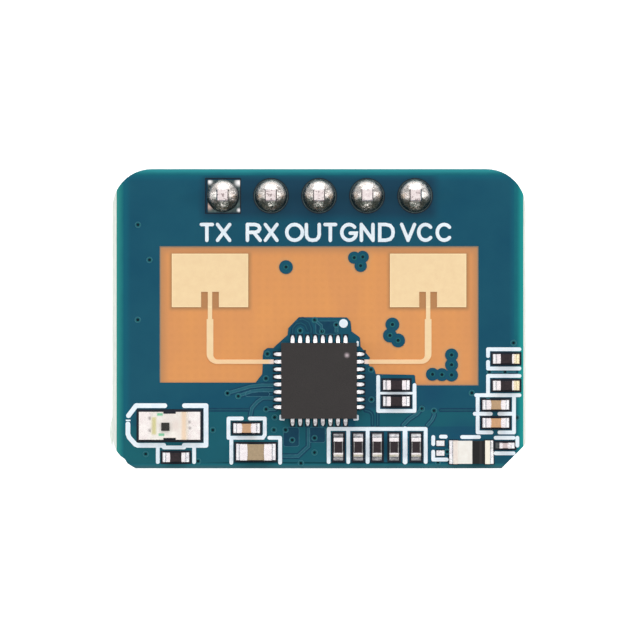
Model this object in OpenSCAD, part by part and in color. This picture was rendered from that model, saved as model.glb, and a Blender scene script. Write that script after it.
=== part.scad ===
// Microwave radar presence sensor module: a small scored board with two patch antennas,
// a radar chip, a light sensor and a five-way pin header soldered in from behind.
// The origin is the middle of the pin row, on the underside of the header strip, which is
// the face that seats on the carrier board. +Z leaves the component face and +Y runs from
// the radar chip towards the pin row.

/* [Board] */
// Distance between the antenna window and the solder of the resistors at the board's side
side_gap = 0.765; // [0.5:0.005:3]
// Distance from the board's side to the solder of the resistors beside it
side_inset = 0.35; // [0.3:0.01:1.5]
// Distance from the board's bottom edge to the solder of the upright resistors
bottom_inset = 0.43; // [0.3:0.01:2]
// Thickness of the bare laminate
board_t = 1.0; // [0.8:0.1:1.2]
// Radius of the two routed corners beside the pins
corner_r = 2.1; // [0.6:0.1:2.6]
// Leg of the two cut corners at the bottom edge
corner_cut = 1.3; // [1.25:0.05:1.5]
// Thickness of the web left between the two score grooves
web_t = 0.34; // [0.2:0.02:0.42]
// Angle of the scoring wheel's edge
score_angle = 60; // [40:5:70]
// Sideways error of both score lines
score_shift = 0.05; // [0:0.01:0.08]
// Height of the burr where the left web broke off
burr_rise = 0.14; // [0.05:0.01:0.2]
// Distance of that burr from the bottom edge
burr_y = 1.9; // [1.7:0.1:6]
// Thickness of the solder mask
mask_t = 0.03; // [0.02:0.01:0.04]
// Gap between the solder mask and each tinned pad
mask_gap = 0.05; // [0.03:0.01:0.07]
// Gap between the solder mask and the solder of a chip part
part_gap = 0.11; // [0.06:0.01:0.12]
// Thickness of a pad with its tin
pad_t = 0.05; // [0.05:0.01:0.08]
// Thickness of the bare copper of the antennas
copper_t = 0.035; // [0.018:0.001:0.045]

/* [Pin header] */
// Number of pins
pin_count = 5; // [3:1:6]
// Distance between neighbouring pins, and the size of one cell of the strip
pin_pitch = 2.54; // [2.3:0.02:2.7]
// Side of a square pin
pin_side = 0.64; // [0.5:0.02:0.66]
// Height of the plastic strip
strip_h = 2.54; // [1.5:0.02:3]
// Depth of the notches between the cells of the strip
strip_notch = 0.42; // [0.2:0.02:0.5]
// Length of a pin below the strip
mating_len = 6.0; // [3:0.1:12]
// Height of a pin above the board's front pads
tail_proud = 1.65; // [1.4:0.05:2.4]
// Flat at the mating tip
mating_flat = 0.34; // [0.2:0.02:0.44]
// Flat at the soldered tip
tail_flat = 0.52; // [0.3:0.02:0.56]
// Length of the taper at the mating tip
mating_taper = 0.55; // [0.3:0.05:0.8]
// Length of the taper at the soldered tip
tail_taper = 0.16; // [0.1:0.02:0.3]
// Distance from the board's pin edge to the pin row
row_inset = 1.42; // [1.3:0.02:1.8]
// Room between a pin's corners and the plated wall of its hole
hole_play = 0.058; // [0.04:0.002:0.1]
// Diameter of the round pin pads
ring_d = 1.8; // [1.5:0.02:1.9]
// Thickness of the plating in the holes
plating_t = 0.025; // [0.02:0.005:0.04]
// Distance from a pad's edge to the edge of its solder
solder_margin = 0.04; // [0.02:0.01:0.12]
// Height of the domes of solder round the pins, if they closed over the pins
solder_rise = 0.52; // [0.4:0.02:0.8]

/* [Antennas] */
// Distance between the middles of the two patches
patch_gap = 11.54; // [11.3:0.02:11.7]
// Width of a patch
patch_w = 4.04; // [3.7:0.02:4.2]
// Length of a patch
patch_l = 2.83; // [2.7:0.01:2.95]
// Distance from the pin row down to the far edge of the patches
patch_drop = 3.06; // [3.0:0.02:3.3]
// Depth of the inset at the feed of a patch
inset_l = 0.81; // [0.5:0.01:1.1]
// Width of the slot on each side of the inset feed
inset_w = 0.355; // [0.2:0.005:0.5]
// Width of the thin feed line
line_w = 0.23; // [0.18:0.01:0.28]
// Width of the matching section of the feed line
match_w = 0.355; // [0.3:0.005:0.45]
// Length of thin line between the patch and the matching section
line_l = 0.63; // [0.4:0.01:0.8]
// Outer radius of the bend in the feed line
bend_outer = 0.55; // [0.45:0.01:0.7]
// Inner radius of the bend in the feed line
bend_inner = 0.24; // [0.15:0.01:0.3]
// Clear laminate beside the patches
window_side = 0.645; // [0.4:0.01:0.8]
// Clear laminate above the patches
window_top = 0.4; // [0.3:0.01:0.5]
// Radius of the mask dots left in the antenna window
dot_r = 0.345; // [0.25:0.005:0.36]

/* [Radar chip] */
// Distance from the middle of the outer lead to the corner of the chip
corner_land = 0.6; // [0.5:0.01:0.8]
// Height of the radar chip
chip_h = 0.8; // [0.6:0.05:1.0]
// Distance from the pin row down to the middle of the chip
chip_drop = 9.775; // [9.2:0.005:11]
// Distance between the chip's leads
lead_pitch = 0.4; // [0.35:0.01:0.5]
// Number of leads on each side
lead_count = 8; // [6:1:8]
// Width of a lead
lead_w = 0.19; // [0.14:0.01:0.22]
// Length of a lead under the chip
lead_l = 0.35; // [0.25:0.01:0.45]
// Height of the lead frame
lead_h = 0.2; // [0.15:0.01:0.25]
// Length of solder in front of a lead
lead_toe = 0.4; // [0.3:0.01:0.42]
// Side of the square thermal pad under the chip
thermal_side = 2.6; // [2:0.05:2.8]
// Radius of the dimple that marks the first lead
dimple_r = 0.14; // [0.08:0.01:0.2]

/* [Small parts] */
// Length of a small chip part
small_l = 1.0; // [0.9:0.02:1.06]
// Width of a small chip part
small_w = 0.5; // [0.4:0.01:0.54]
// Height of a resistor
resistor_h = 0.35; // [0.25:0.01:0.45]
// Height of a small capacitor
capacitor_h = 0.5; // [0.35:0.01:0.6]
// Length of the end cap of a small part
small_cap = 0.22; // [0.15:0.01:0.3]
// Length of the large capacitor
large_l = 1.68; // [1.5:0.02:1.72]
// Width of the large capacitor
large_w = 0.86; // [0.7:0.02:0.9]
// Height of the large capacitor
large_h = 0.8; // [0.6:0.05:1.0]
// Length of the end cap of the large capacitor
large_cap = 0.42; // [0.3:0.01:0.5]
// Length of the tiny capacitor
tiny_l = 0.6; // [0.5:0.02:0.64]
// Width of the tiny capacitor
tiny_w = 0.3; // [0.25:0.01:0.36]
// Length of the end cap of the tiny capacitor
tiny_cap = 0.15; // [0.1:0.01:0.18]
// How far an end cap stands proud of the ceramic
cap_proud = 0.015; // [0.01:0.005:0.03]
// Length of solder in front of an end cap
toe_l = 0.2; // [0.1:0.01:0.22]
// Height of solder on an end cap
toe_h = 0.2; // [0.1:0.01:0.24]
// Gap between the chip's solder and the row of upright resistors
bank_gap = 0.415; // [0.3:0.005:1.5]
// Gap between the two resistors beside the chip
pair_gap = 0.36; // [0.25:0.01:0.8]
// Gap between the two resistors at the board's side
edge_gap = 0.91; // [0.7:0.01:1.5]
// Gap between those resistors and the capacitors under them
column_gap = 0.52; // [0.45:0.01:1]
// Gap between the two capacitors at the board's side
right_gap = 0.45; // [0.3:0.01:0.8]
// Gap between the small and the large capacitor left of the middle
store_gap = 0.58; // [0.5:0.01:1]
// Gap between the light sensor and the resistor under it
sensor_gap = 0.685; // [0.6:0.005:1]

/* [Light sensor and chip antenna] */
// Length of the light sensor
sensor_l = 3.24; // [3.0:0.02:3.3]
// Width of the light sensor
sensor_w = 1.47; // [1.3:0.01:1.5]
// Height of the light sensor's base
sensor_base_h = 0.3; // [0.2:0.02:0.4]
// Length of the notch in each long side of the light sensor
waist_l = 0.66; // [0.4:0.02:0.8]
// Depth of that notch
waist_depth = 0.1; // [0.04:0.01:0.12]
// Gap between the solder mask and the light sensor
sensor_moat = 0.14; // [0.08:0.01:0.15]
// Length of each terminal of the light sensor
sensor_end = 0.62; // [0.4:0.02:0.66]
// Thickness of the light sensor's terminals
terminal_t = 0.04; // [0.03:0.01:0.06]
// Height of the clear body over its base
lens_h = 0.75; // [0.5:0.05:1.0]
// Gap between the clear body and each terminal
lens_gap = 0.05; // [0.02:0.01:0.1]
// Draft angle of the clear body's ends
lens_draft = 5; // [1:1:8]
// Side of the light sensor's die
die_side = 0.43; // [0.3:0.01:0.5]
// Height of the die
die_h = 0.15; // [0.1:0.01:0.2]
// Length of the chip antenna
ceramic_l = 1.94; // [1.8:0.02:2.0]
// Width of the chip antenna
ceramic_w = 1.24; // [1.0:0.02:1.3]
// Height of the chip antenna
ceramic_h = 0.5; // [0.4:0.05:0.7]
// Length of each end cap of the chip antenna
ceramic_cap = 0.26; // [0.2:0.01:0.3]

/* [Back of the board] */
// Height of the microcontroller
mcu_h = 0.75; // [0.5:0.05:1.0]
// Length of the crystal
crystal_l = 3.2; // [2.5:0.1:3.3]
// Width of the crystal
crystal_w = 2.5; // [2.0:0.1:2.6]
// Height of the crystal's ceramic base
crystal_base_h = 0.4; // [0.3:0.05:0.5]
// Height of the crystal's metal lid
crystal_lid_h = 0.3; // [0.2:0.05:0.4]
// Rim of the base around the lid
crystal_rim = 0.16; // [0.1:0.02:0.25]
// Length of the regulator's moulded body
regulator_l = 2.9; // [2.6:0.05:3.1]
// Width of the regulator's moulded body
regulator_w = 1.3; // [1.1:0.05:1.5]
// Height of the regulator's moulded body
regulator_h = 1.0; // [0.8:0.05:1.2]
// Reach of the regulator's leads from the body
regulator_reach = 0.55; // [0.4:0.05:0.7]
// Distance between the regulator's leads
regulator_pitch = 0.95; // [0.9:0.01:1.0]
// Width of a regulator lead
regulator_lead_w = 0.4; // [0.3:0.02:0.5]
// Thickness of a regulator lead
regulator_lead_t = 0.13; // [0.1:0.01:0.18]

/* [Print] */
// Thickness of the white print
ink_t = 0.02; // [0.01:0.005:0.04]
// Width of the print around the light sensor
ink_wide = 0.25; // [0.15:0.01:0.28]
// Width of the print around the small parts
ink_w = 0.2; // [0.12:0.01:0.22]
// Distance from solder to the middle of the print around it
ink_gap = 0.26; // [0.2:0.01:0.3]
// Diameter of the round mark beside the chip
mark_d = 0.46; // [0.3:0.02:0.5]

/* [Hidden] */
$fn = 48;
// Depth by which a cutter passes through the face it cuts
over = 0.1;

// Heights of the board's faces
back_z = strip_h + pad_t;
face_z = back_z + board_t;
part_z = face_z + pad_t;
back_part_z = back_z - pad_t;

// Top of the solder domes, whose rim is as thick as a pad
solder_z = part_z + pad_t + solder_rise;

// Pins
pin_x = [for (i = [0:pin_count - 1]) (i - (pin_count - 1) / 2) * pin_pitch];
hole_d = pin_side * sqrt(2) + 2 * hole_play;

// Kinds of chip part: length, width, height and length of an end cap
RESISTOR = [small_l, small_w, resistor_h, small_cap];
CAPACITOR = [small_l, small_w, capacitor_h, small_cap];
LARGE = [large_l, large_w, large_h, large_cap];
TINY = [tiny_l, tiny_w, tiny_w, tiny_cap];
CERAMIC = [ceramic_l, ceramic_w, ceramic_h, ceramic_cap];

// Half the length of a part with its solder
function reach(kind) = kind[0] / 2 + toe_l;

// The lead that each feed line meets, in pitches from the middle of its side of the chip
feed_lead = 2.5;
// Foot of the antenna window below the chip's middle, and of its step on the right,
// with the distance of that step from the chip's solder
window_foot = 0.105;
window_step = [2.71, 0.255];

// Antennas and chip. Heights are y in the row's frame, down from the pin row.
chip_side = (lead_count - 1) * lead_pitch + 2 * corner_land;
chip_reach = chip_side / 2 + lead_toe;
patch_top = -patch_drop;
patch_bottom = patch_top - patch_l;
match_top = patch_bottom - line_l;
chip_y = -chip_drop;
feed_y = chip_y + feed_lead * lead_pitch;
window_x = patch_gap / 2 + patch_w / 2 + window_side;
window_top_y = patch_top + window_top;
window_bottom_y = chip_y - window_foot;
window_step_y = chip_y - window_step[1];
window_step_x = chip_reach + window_step[0];

// Upright resistors: place of the first along the board, the gaps between neighbours, and
// the middle of each from the first
bank_x = 1.02;
bank_gaps = [0.55, 0.5, 0.4, 0.66];
bank_steps = [for (i = [0:len(bank_gaps)]) i * small_w + sum_to(bank_gaps, i)];
function sum_to(list, n) = n == 0 ? 0 : list[n - 1] + sum_to(list, n - 1);
bank_at = [bank_x, chip_y - chip_reach - bank_gap - reach(RESISTOR)];
bank_end = bank_at[0] + bank_steps[len(bank_gaps)] + small_w / 2;

// Column at the board's right side, from its middle down: the height of the upper pair over
// the chip's middle, and the distance of the lower pair's solder from the side
edge_rise = 0.445;
right_inset = 0.9;
edge_step = small_w + edge_gap;
right_step = small_w + right_gap;
edge_y = chip_y + edge_rise;
right_y = edge_y - (edge_step + right_step) / 2 - small_w - column_gap;

// Places of the lower parts: shifts along the board, and distances from its edges
group_gap = 0.6;
ceramic_inset = 0.24;
pair_step = small_w + pair_gap;
pair_shift = [1.69, -0.665];
store_x = -3.83;
large_shift = 0.49;
large_inset = 0.44;
sensor_inset = 1.43;
under_shift = 0.33;
under_inset = 0.34;
spare_size = [0.42, 0.28];
spare_pitch = 0.52;
spare_gap = 0.26;
spare_rise = 1.07;
tiny_gap = 0.11;
tiny_inset = 0.61;
tiny_rise = 1.06;

// The board is as high and as wide as its longest column and row of parts
bottom_y = min(bank_at[1] - reach(RESISTOR) - bottom_inset,
    right_y - right_step / 2 - small_w / 2 - ink_gap - ceramic_w - 2 * ceramic_inset);
half_w = max(window_x + side_gap + 2 * reach(RESISTOR) + side_inset,
    reach(CAPACITOR) + ink_gap - store_x + group_gap + sensor_l + sensor_inset,
    bank_end + group_gap + spare_size[0] + spare_gap + 2 * reach(CERAMIC) + tiny_gap
        + 2 * reach(TINY) + tiny_inset);

// Board outline: x from the middle of the board, y from the pin row
top_y = row_inset;
board_w = 2 * half_w;
board_h = top_y - bottom_y;
left_x = -half_w;
right_x = half_w;
score_depth = (board_t - web_t) / 2;
score_w = score_depth * tan(score_angle / 2);
burr_r = 2.5;

// The ragged left corner, from where the cut leaves the side: shares of corner_cut
ragged_corner = [[0, 1.15], [0.17, 0.72], [0.34, 0.51], [0.52, 0.38], [0.63, 0.2], [0.79, 0.1], [0.96, 0]];

// Place of the dimple from two edges of a package, and its depth
dimple_inset = [0.53, 0.65];
dimple_depth = 0.04;

// Share of a lead's height that the solder in front of it wets
lead_wet = 0.9;

// Place of the die on the light sensor
die_at = [-0.22, -0.05];

// The regulator: height of the middle of a gull-wing lead where it leaves the body, height
// of the body's foot, draft of its sides, and length of a lead inside it
lead_exit = 0.5;
body_lift = 0.08;
body_draft = 0.08;
lead_root = 0.15;

// Shares of a lead's reach at its upper and lower bend
lead_knee = 0.3;
lead_foot = 0.5;

// Pads of the regulator: what they are wider than a lead, and length as a share of its reach
pad_play = 0.2;
pad_share = 0.7;

// Pads of the crystal: size, and place of the middle from the package's corner
crystal_pad = [1.2, 0.95];
crystal_pad_inset = [0.5, 0.4];

// Mask dots in the window, from the middle of the board and the pin row: x, y and size
dots = [[-1.75, -3.77, 1.06], [1.86, -3.27, 0.95], [2.31, -3.23, 0.95], [2.20, -3.70, 0.95],
        [3.88, -6.81, 1.07], [3.75, -7.39, 1.07], [4.18, -7.65, 1.07],
        [7.01, -8.42, 1], [7.01, -8.94, 1], [7.01, -9.48, 1], [6.50, -9.46, 1], [6.0, -9.44, 1]];

// Edge of the mask around the chip, from the chip's middle, left to right
island = [[-chip_reach - 0.96, -1], [-chip_reach - 0.96, -window_foot], [-chip_reach - 0.61, 0.345],
          [-chip_reach - 0.59, 0.615], [-chip_reach - 0.58, 1.315], [-chip_reach - 0.53, 1.585],
          [-chip_reach - 0.34, 1.725], [-chip_reach - 0.03, 1.725], [-1.67, chip_reach + 0.015],
          [-1.63, chip_reach + 0.375], [-1.07, chip_reach + 0.955], [1.47, chip_reach + 0.945],
          [1.67, chip_reach + 0.725], [1.72, chip_reach + 0.205], [2.16, chip_reach - 0.115],
          [chip_reach - 0.2, 1.795], [chip_reach + 0.29, 1.225], [chip_reach + 0.23, 0.805],
          [chip_reach + 0.53, 0.615], [chip_reach + 0.61, 0.345], [window_step_x - 0.04, 0.305],
          [window_step_x, -window_step[1]], [window_step_x, -1]];
island_round = 0.08;

// Middles of the groups of small parts
pair_at = [chip_reach + pair_shift[0], chip_y + pair_shift[1]];
edge_at = [right_x - side_inset - reach(RESISTOR), edge_y];
right_at = [right_x - right_inset - reach(CAPACITOR), right_y];
large_at = [store_x + large_shift, bottom_y + large_inset + large_w / 2];
store_at = [store_x, large_at[1] + large_w / 2 + store_gap + small_w / 2];
under_y = bottom_y + under_inset + small_w / 2;
sensor_at = [left_x + sensor_inset + sensor_l / 2,
             under_y + small_w / 2 + sensor_gap + sensor_w / 2];
tiny_at = [right_x - tiny_inset - reach(TINY), bottom_y + tiny_rise + tiny_w / 2];
ceramic_at = [tiny_at[0] - reach(TINY) - tiny_gap - reach(CERAMIC),
              bottom_y + ceramic_inset + ceramic_w / 2];
spare_at = [ceramic_at[0] - reach(CERAMIC) - spare_gap - spare_size[0] / 2,
            bottom_y + spare_rise];

// Places of the chip parts: x, y, angle and kind
resistor_sites = concat(
    [for (step = bank_steps) [bank_at[0] + step, bank_at[1], 90, RESISTOR]],
    [for (s = [1, -1]) [pair_at[0], pair_at[1] + s * pair_step / 2, 0, RESISTOR]],
    [for (s = [1, -1]) [edge_at[0], edge_at[1] + s * edge_step / 2, 0, RESISTOR]],
    [[sensor_at[0] + under_shift, under_y, 0, RESISTOR]]);
capacitor_sites = [
    [store_at[0], store_at[1], 0, CAPACITOR],
    [large_at[0], large_at[1], 0, LARGE],
    [right_at[0], right_at[1] + right_step / 2, 0, CAPACITOR],
    [right_at[0], right_at[1] - right_step / 2, 0, CAPACITOR],
    [tiny_at[0], tiny_at[1], 0, TINY]];
front_sites = concat(resistor_sites, capacitor_sites);

// Places behind the board
mcu_at = [-3.6, -7.0];
crystal_at = [2.2, -7.0];
regulator_at = [7.2, -6.2];
back_capacitor_sites = [
    [7.2, -9.3, 0, LARGE], [7.2, -3.6, 0, LARGE],
    [2.2, -9.6, 0, CAPACITOR], [2.2, -4.5, 0, CAPACITOR]];
back_resistor_sites = [[-3.6, -10.7, 0, RESISTOR], [-7.6, -7.0, 90, RESISTOR]];
back_sites = concat(back_capacitor_sites, back_resistor_sites);

FR4 = [0.92, 0.9, 0.8];
MASK = [0.09, 0.33, 0.4];
COPPER = [0.96, 0.84, 0.66];
TIN = [0.86, 0.87, 0.88];
BLACK = [0.22, 0.2, 0.2];
TAN = [0.72, 0.62, 0.5];
IVORY = [0.95, 0.94, 0.9];

// Puts its children at a site: x, y and angle
module at(site) translate([site[0], site[1], 0]) rotate(site[2]) children();

// Puts its children on the front pads, or upside down on the back pads
module on_front() translate([0, 0, part_z]) children();
module on_back() translate([0, 0, back_part_z]) mirror([0, 0, 1]) children();

// Board
module corner_waste(r) {
    difference() {
        square(r + over);
        circle(r);
    }
}

module board_outline() {
    difference() {
        translate([left_x, bottom_y]) square([board_w, board_h]);
        translate([right_x - corner_r, top_y - corner_r]) corner_waste(corner_r);
        mirror([1, 0]) translate([right_x - corner_r, top_y - corner_r]) corner_waste(corner_r);
        translate([right_x, bottom_y]) rotate(45) square(corner_cut * sqrt(2), center = true);
        translate([left_x, bottom_y]) polygon(concat(corner_cut * ragged_corner,
            [[corner_cut, -over], [-over, -over], [-over, 2 * corner_cut]]));
    }
}

// The scored section, drawn across the board: face edges, groove flanks and webs
module scored_section() {
    face_left = left_x + score_w + score_shift;
    face_right = right_x - score_w + score_shift;
    polygon([[face_left, 0], [face_right, 0],
             [right_x, score_depth], [right_x, score_depth + web_t],
             [face_right, board_t], [face_left, board_t],
             [left_x, score_depth + web_t], [left_x, score_depth]]);
}

module at_pins() for (x = pin_x) translate([x, 0]) children();

module board_core() color(FR4) {
    difference() {
        intersection() {
            translate([0, 0, back_z]) linear_extrude(board_t) board_outline();
            translate([0, top_y, back_z]) rotate([90, 0, 0])
                linear_extrude(board_h) scored_section();
        }
        translate([0, 0, back_z - over]) linear_extrude(board_t + 2 * over)
            at_pins() circle(d = hole_d + 2 * plating_t);
    }
    burr_x = left_x - burr_rise + burr_r;
    translate([0, 0, back_z + score_depth]) linear_extrude(web_t) intersection() {
        translate([burr_x, bottom_y + burr_y]) circle(burr_r);
        translate([left_x - burr_rise, bottom_y + burr_y - burr_r])
            square([burr_rise, 2 * burr_r]);
    }
}

// Solder mask
module mask_outline() {
    intersection() {
        board_outline();
        translate([left_x + score_w + score_shift, bottom_y])
            square([board_w - 2 * score_w, board_h]);
    }
}

module chip_island() {
    translate([0, chip_y]) offset(r = island_round, $fn = 16)
        offset(delta = -island_round) polygon(island);
}

module antenna_window() {
    difference() {
        union() {
            translate([-window_x, window_bottom_y])
                square([2 * window_x, window_top_y - window_bottom_y]);
            translate([window_step_x, window_step_y])
                square([window_x - window_step_x, window_top_y - window_step_y]);
        }
        chip_island();
        for (dot = dots) translate([dot[0], dot[1]]) circle(dot_r * dot[2], $fn = 24);
    }
}

module ring_pads(grow) {
    for (i = [0:pin_count - 1]) translate([pin_x[i], 0])
        if (i == 0) square(ring_d + 2 * grow, center = true);
        else circle(d = ring_d + 2 * grow);
}

module solder_mask_front() color(MASK)
    translate([0, 0, face_z]) linear_extrude(mask_t) difference() {
        mask_outline();
        antenna_window();
        ring_pads(mask_gap);
        front_pad_shapes(mask_gap);
        front_openings();
        feed_shape(-1);
        feed_shape(1);
    }

module solder_mask_back() color(MASK)
    translate([0, 0, back_z - mask_t]) linear_extrude(mask_t) difference() {
        mask_outline();
        ring_pads(mask_gap);
        back_pad_shapes(mask_gap);
        part_openings(back_sites);
    }

module plated_holes() color(COPPER) difference() {
    union() {
        translate([0, 0, face_z]) linear_extrude(pad_t) ring_pads(0);
        translate([0, 0, back_part_z]) linear_extrude(pad_t) ring_pads(0);
        translate([0, 0, back_part_z]) linear_extrude(board_t + 2 * pad_t)
            at_pins() circle(d = hole_d + 2 * plating_t);
    }
    translate([0, 0, back_part_z - over]) linear_extrude(board_t + 2 * pad_t + 2 * over)
        at_pins() circle(d = hole_d);
}

// Patch antennas. Each is drawn for the right-hand side, and mirrored for the left.
module patch_shape() {
    difference() {
        translate([-patch_w / 2, patch_bottom]) square([patch_w, patch_l]);
        for (side = [-1, 1])
            translate([side * (line_w + inset_w) / 2, patch_bottom + inset_l / 2])
                square([inset_w, inset_l], center = true);
    }
}

// A bend from the wide upright section into the thin line that runs to the chip,
// drawn from its outer corner
module bend_shape() {
    difference() {
        union() {
            square([match_w + bend_inner, line_w + bend_inner]);
            square([match_w, bend_outer]);
        }
        translate([bend_outer, bend_outer]) rotate(180) corner_waste(bend_outer);
        translate([match_w + bend_inner, line_w + bend_inner]) circle(bend_inner);
    }
}

// Feed line of the antenna on one side: side is -1 for the left and 1 for the right
module feed_shape(side) {
    mirror([side > 0 ? 1 : 0, 0]) {
        line_x = -patch_gap / 2;
        corner = [line_x - match_w / 2, feed_y - line_w / 2];
        translate([line_x - line_w / 2, match_top])
            square([line_w, patch_bottom - match_top + over]);
        translate([corner[0], corner[1] + bend_outer])
            square([match_w, match_top - corner[1] - bend_outer]);
        translate(corner) bend_shape();
        bend_end = corner[0] + match_w + bend_inner;
        translate([bend_end, corner[1]]) square([-chip_reach - bend_end, line_w]);
    }
}

module antenna(side) color(COPPER)
    translate([0, 0, face_z]) linear_extrude(copper_t) {
        translate([side * patch_gap / 2, 0]) patch_shape();
        feed_shape(side);
    }

module transmit_antenna() antenna(-1);
module receive_antenna() antenna(1);

// Pin header
module header_strip() color(BLACK) linear_extrude(strip_h) difference() {
    strip_l = pin_count * pin_pitch;
    square([strip_l, pin_pitch], center = true);
    for (i = [0:pin_count]) for (side = [-1, 1])
        translate([i * pin_pitch - strip_l / 2, side * pin_pitch / 2])
            rotate(45) square(strip_notch * sqrt(2), center = true);
    at_pins() square(pin_side, center = true);
}

// One face of a pin: straight sides with a taper at each tip
module pin_profile() {
    top = part_z + tail_proud;
    half = pin_side / 2;
    polygon([[-mating_flat / 2, -mating_len], [mating_flat / 2, -mating_len],
             [half, -mating_len + mating_taper], [half, top - tail_taper],
             [tail_flat / 2, top], [-tail_flat / 2, top],
             [-half, top - tail_taper], [-half, -mating_len + mating_taper]]);
}

module header_pin(i) color(COPPER) translate([pin_x[i - 1], 0, 0]) intersection() {
    rotate([90, 0, 0]) linear_extrude(pin_side, center = true) pin_profile();
    rotate([90, 0, 90]) linear_extrude(pin_side, center = true) pin_profile();
}

// The solder fills the plated hole and stands on its pad as a dome
module solder_joint(i) color(TIN) translate([pin_x[i - 1], 0, 0]) difference() {
    rotate_extrude($fn = 64) solder_profile();
    linear_extrude(2 * (solder_z + over), center = true) square(pin_side, center = true);
}

module solder_profile() {
    solder_r = ring_d / 2 - solder_margin;
    dome_r = (solder_r * solder_r + solder_rise * solder_rise) / (2 * solder_rise);
    translate([0, back_part_z]) square([hole_d / 2, part_z - back_part_z]);
    translate([0, part_z]) square([solder_r, pad_t]);
    intersection() {
        translate([0, part_z + pad_t]) square([solder_r, solder_rise]);
        translate([0, solder_z - dome_r]) circle(dome_r, $fn = 96);
    }
}

// Leadless square packages
module lead_row(count, pitch) {
    for (i = [0:count - 1]) translate([0, (i - (count - 1) / 2) * pitch]) children();
}

module lead_ring(side, length) {
    for (q = [0:3]) rotate(90 * q) translate([side / 2 - length / 2, 0])
        lead_row(lead_count, lead_pitch) square([length, lead_w], center = true);
}

module package_leads(side) {
    linear_extrude(lead_h) {
        lead_ring(side, lead_l);
        square(thermal_side, center = true);
    }
}

module package_body(side, height) {
    difference() {
        translate([-side / 2, -side / 2, 0]) cube([side, side, height]);
        package_leads(side);
        translate([side / 2 - dimple_inset[0], side / 2 - dimple_inset[1], height - dimple_depth])
            cylinder(r = dimple_r, h = dimple_depth + over);
    }
}

// Solder in front of a lead or an end cap: a hollow slope that is drawn from the face it wets
module slope(length, height, width) {
    rim = pad_t / 2;
    rise = height - rim;
    hollow_r = (length * length + rise * rise) / (2 * rise);
    rotate([90, 0, 0]) linear_extrude(width, center = true) difference() {
        square([length, height]);
        translate([length, rim + hollow_r]) circle(hollow_r, $fn = 64);
    }
}

module package_solder(side) {
    for (q = [0:3]) rotate(90 * q) translate([side / 2, 0, 0])
        lead_row(lead_count, lead_pitch) slope(lead_toe, lead_h * lead_wet, lead_w);
}

module radar_chip_body() color(BLACK)
    on_front() translate([0, chip_y, 0]) package_body(chip_side, chip_h);
module radar_chip_leads() color(TIN)
    on_front() translate([0, chip_y, 0]) package_leads(chip_side);

// Chip resistors and capacitors: ceramic between two end caps
module chip_part(kind) {
    length = kind[0];
    width = kind[1];
    height = kind[2];
    end = kind[3];
    translate([-length / 2 + end, -width / 2 + cap_proud, cap_proud])
        cube([length - 2 * end, width - 2 * cap_proud, height - 2 * cap_proud]);
    for (side = [-1, 1]) translate([side * (length - end) / 2, 0, height / 2])
        cube([end, width, height], center = true);
}

module chip_solder(kind) {
    for (a = [0, 180]) rotate(a) translate([kind[0] / 2, 0, 0]) slope(toe_l, toe_h, kind[1]);
}

module chip_pads(kind, grow) {
    for (side = [-1, 1])
        translate([side * (kind[0] / 2 + toe_l / 2 - kind[3] / 2), 0])
            square([kind[3] + toe_l + 2 * grow, kind[1] + 2 * grow], center = true);
}

module resistor(i) color(BLACK)
    on_front() at(resistor_sites[i - 1]) chip_part(RESISTOR);
module capacitor(i) color(TAN)
    on_front() at(capacitor_sites[i - 1]) chip_part(capacitor_sites[i - 1][3]);
module back_resistor(i) color(BLACK)
    on_back() at(back_resistor_sites[i - 1]) chip_part(RESISTOR);
module back_capacitor(i) color(TAN)
    on_back() at(back_capacitor_sites[i - 1]) chip_part(back_capacitor_sites[i - 1][3]);

// Light sensor: a base with wrapped terminals, a die and a clear moulded body
module sensor_frame() on_front() translate([sensor_at[0], sensor_at[1], 0]) children();

// The notches in the long sides, which run through base and clear body
module sensor_waist() {
    cut = over + waist_depth;
    for (side = [-1, 1]) translate([0, side * (sensor_w / 2 - waist_depth + cut / 2), 0])
        linear_extrude(sensor_base_h + lens_h) square([waist_l, cut], center = true);
}

module sensor_base() color(IVORY) sensor_frame() difference() {
    translate([-sensor_l / 2 + terminal_t, -sensor_w / 2, terminal_t])
        cube([sensor_l - 2 * terminal_t, sensor_w, sensor_base_h - 2 * terminal_t]);
    sensor_waist();
}

module sensor_terminals() color(TIN) sensor_frame()
    for (side = [-1, 1])
        difference() {
            translate([side * (sensor_l - sensor_end) / 2, 0, sensor_base_h / 2])
                cube([sensor_end, sensor_w, sensor_base_h], center = true);
            translate([-sensor_l / 2 + terminal_t, -sensor_w, terminal_t])
                cube([sensor_l - 2 * terminal_t, 2 * sensor_w, sensor_base_h - 2 * terminal_t]);
        }

module die_block(height) {
    translate([die_at[0], die_at[1], sensor_base_h - terminal_t])
        linear_extrude(height) square(die_side, center = true);
}

module sensor_die() color(BLACK) sensor_frame() die_block(die_h);

module sensor_lens() color([0.9, 0.95, 0.92, 0.5]) sensor_frame() difference() {
    foot = sensor_l / 2 - sensor_end - lens_gap;
    crown = foot - lens_h * tan(lens_draft);
    translate([0, sensor_w / 2, sensor_base_h - terminal_t]) rotate([90, 0, 0])
        linear_extrude(sensor_w)
            polygon([[-foot, 0], [foot, 0], [crown, lens_h], [-crown, lens_h]]);
    die_block(die_h);
    sensor_waist();
}

// Ceramic chip antenna of the short-range link
module chip_antenna() color(IVORY)
    on_front() translate([ceramic_at[0], ceramic_at[1], 0])
        chip_part(CERAMIC);

// Tinned pads under the front parts, and the two spare ones beside the chip antenna
module package_pads(side, grow) {
    for (q = [0:3]) rotate(90 * q) translate([side / 2 + (lead_toe - lead_l) / 2, 0])
        lead_row(lead_count, lead_pitch)
            square([lead_l + lead_toe + 2 * grow, lead_w + 2 * grow], center = true);
    square(thermal_side + 2 * grow, center = true);
}

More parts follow.
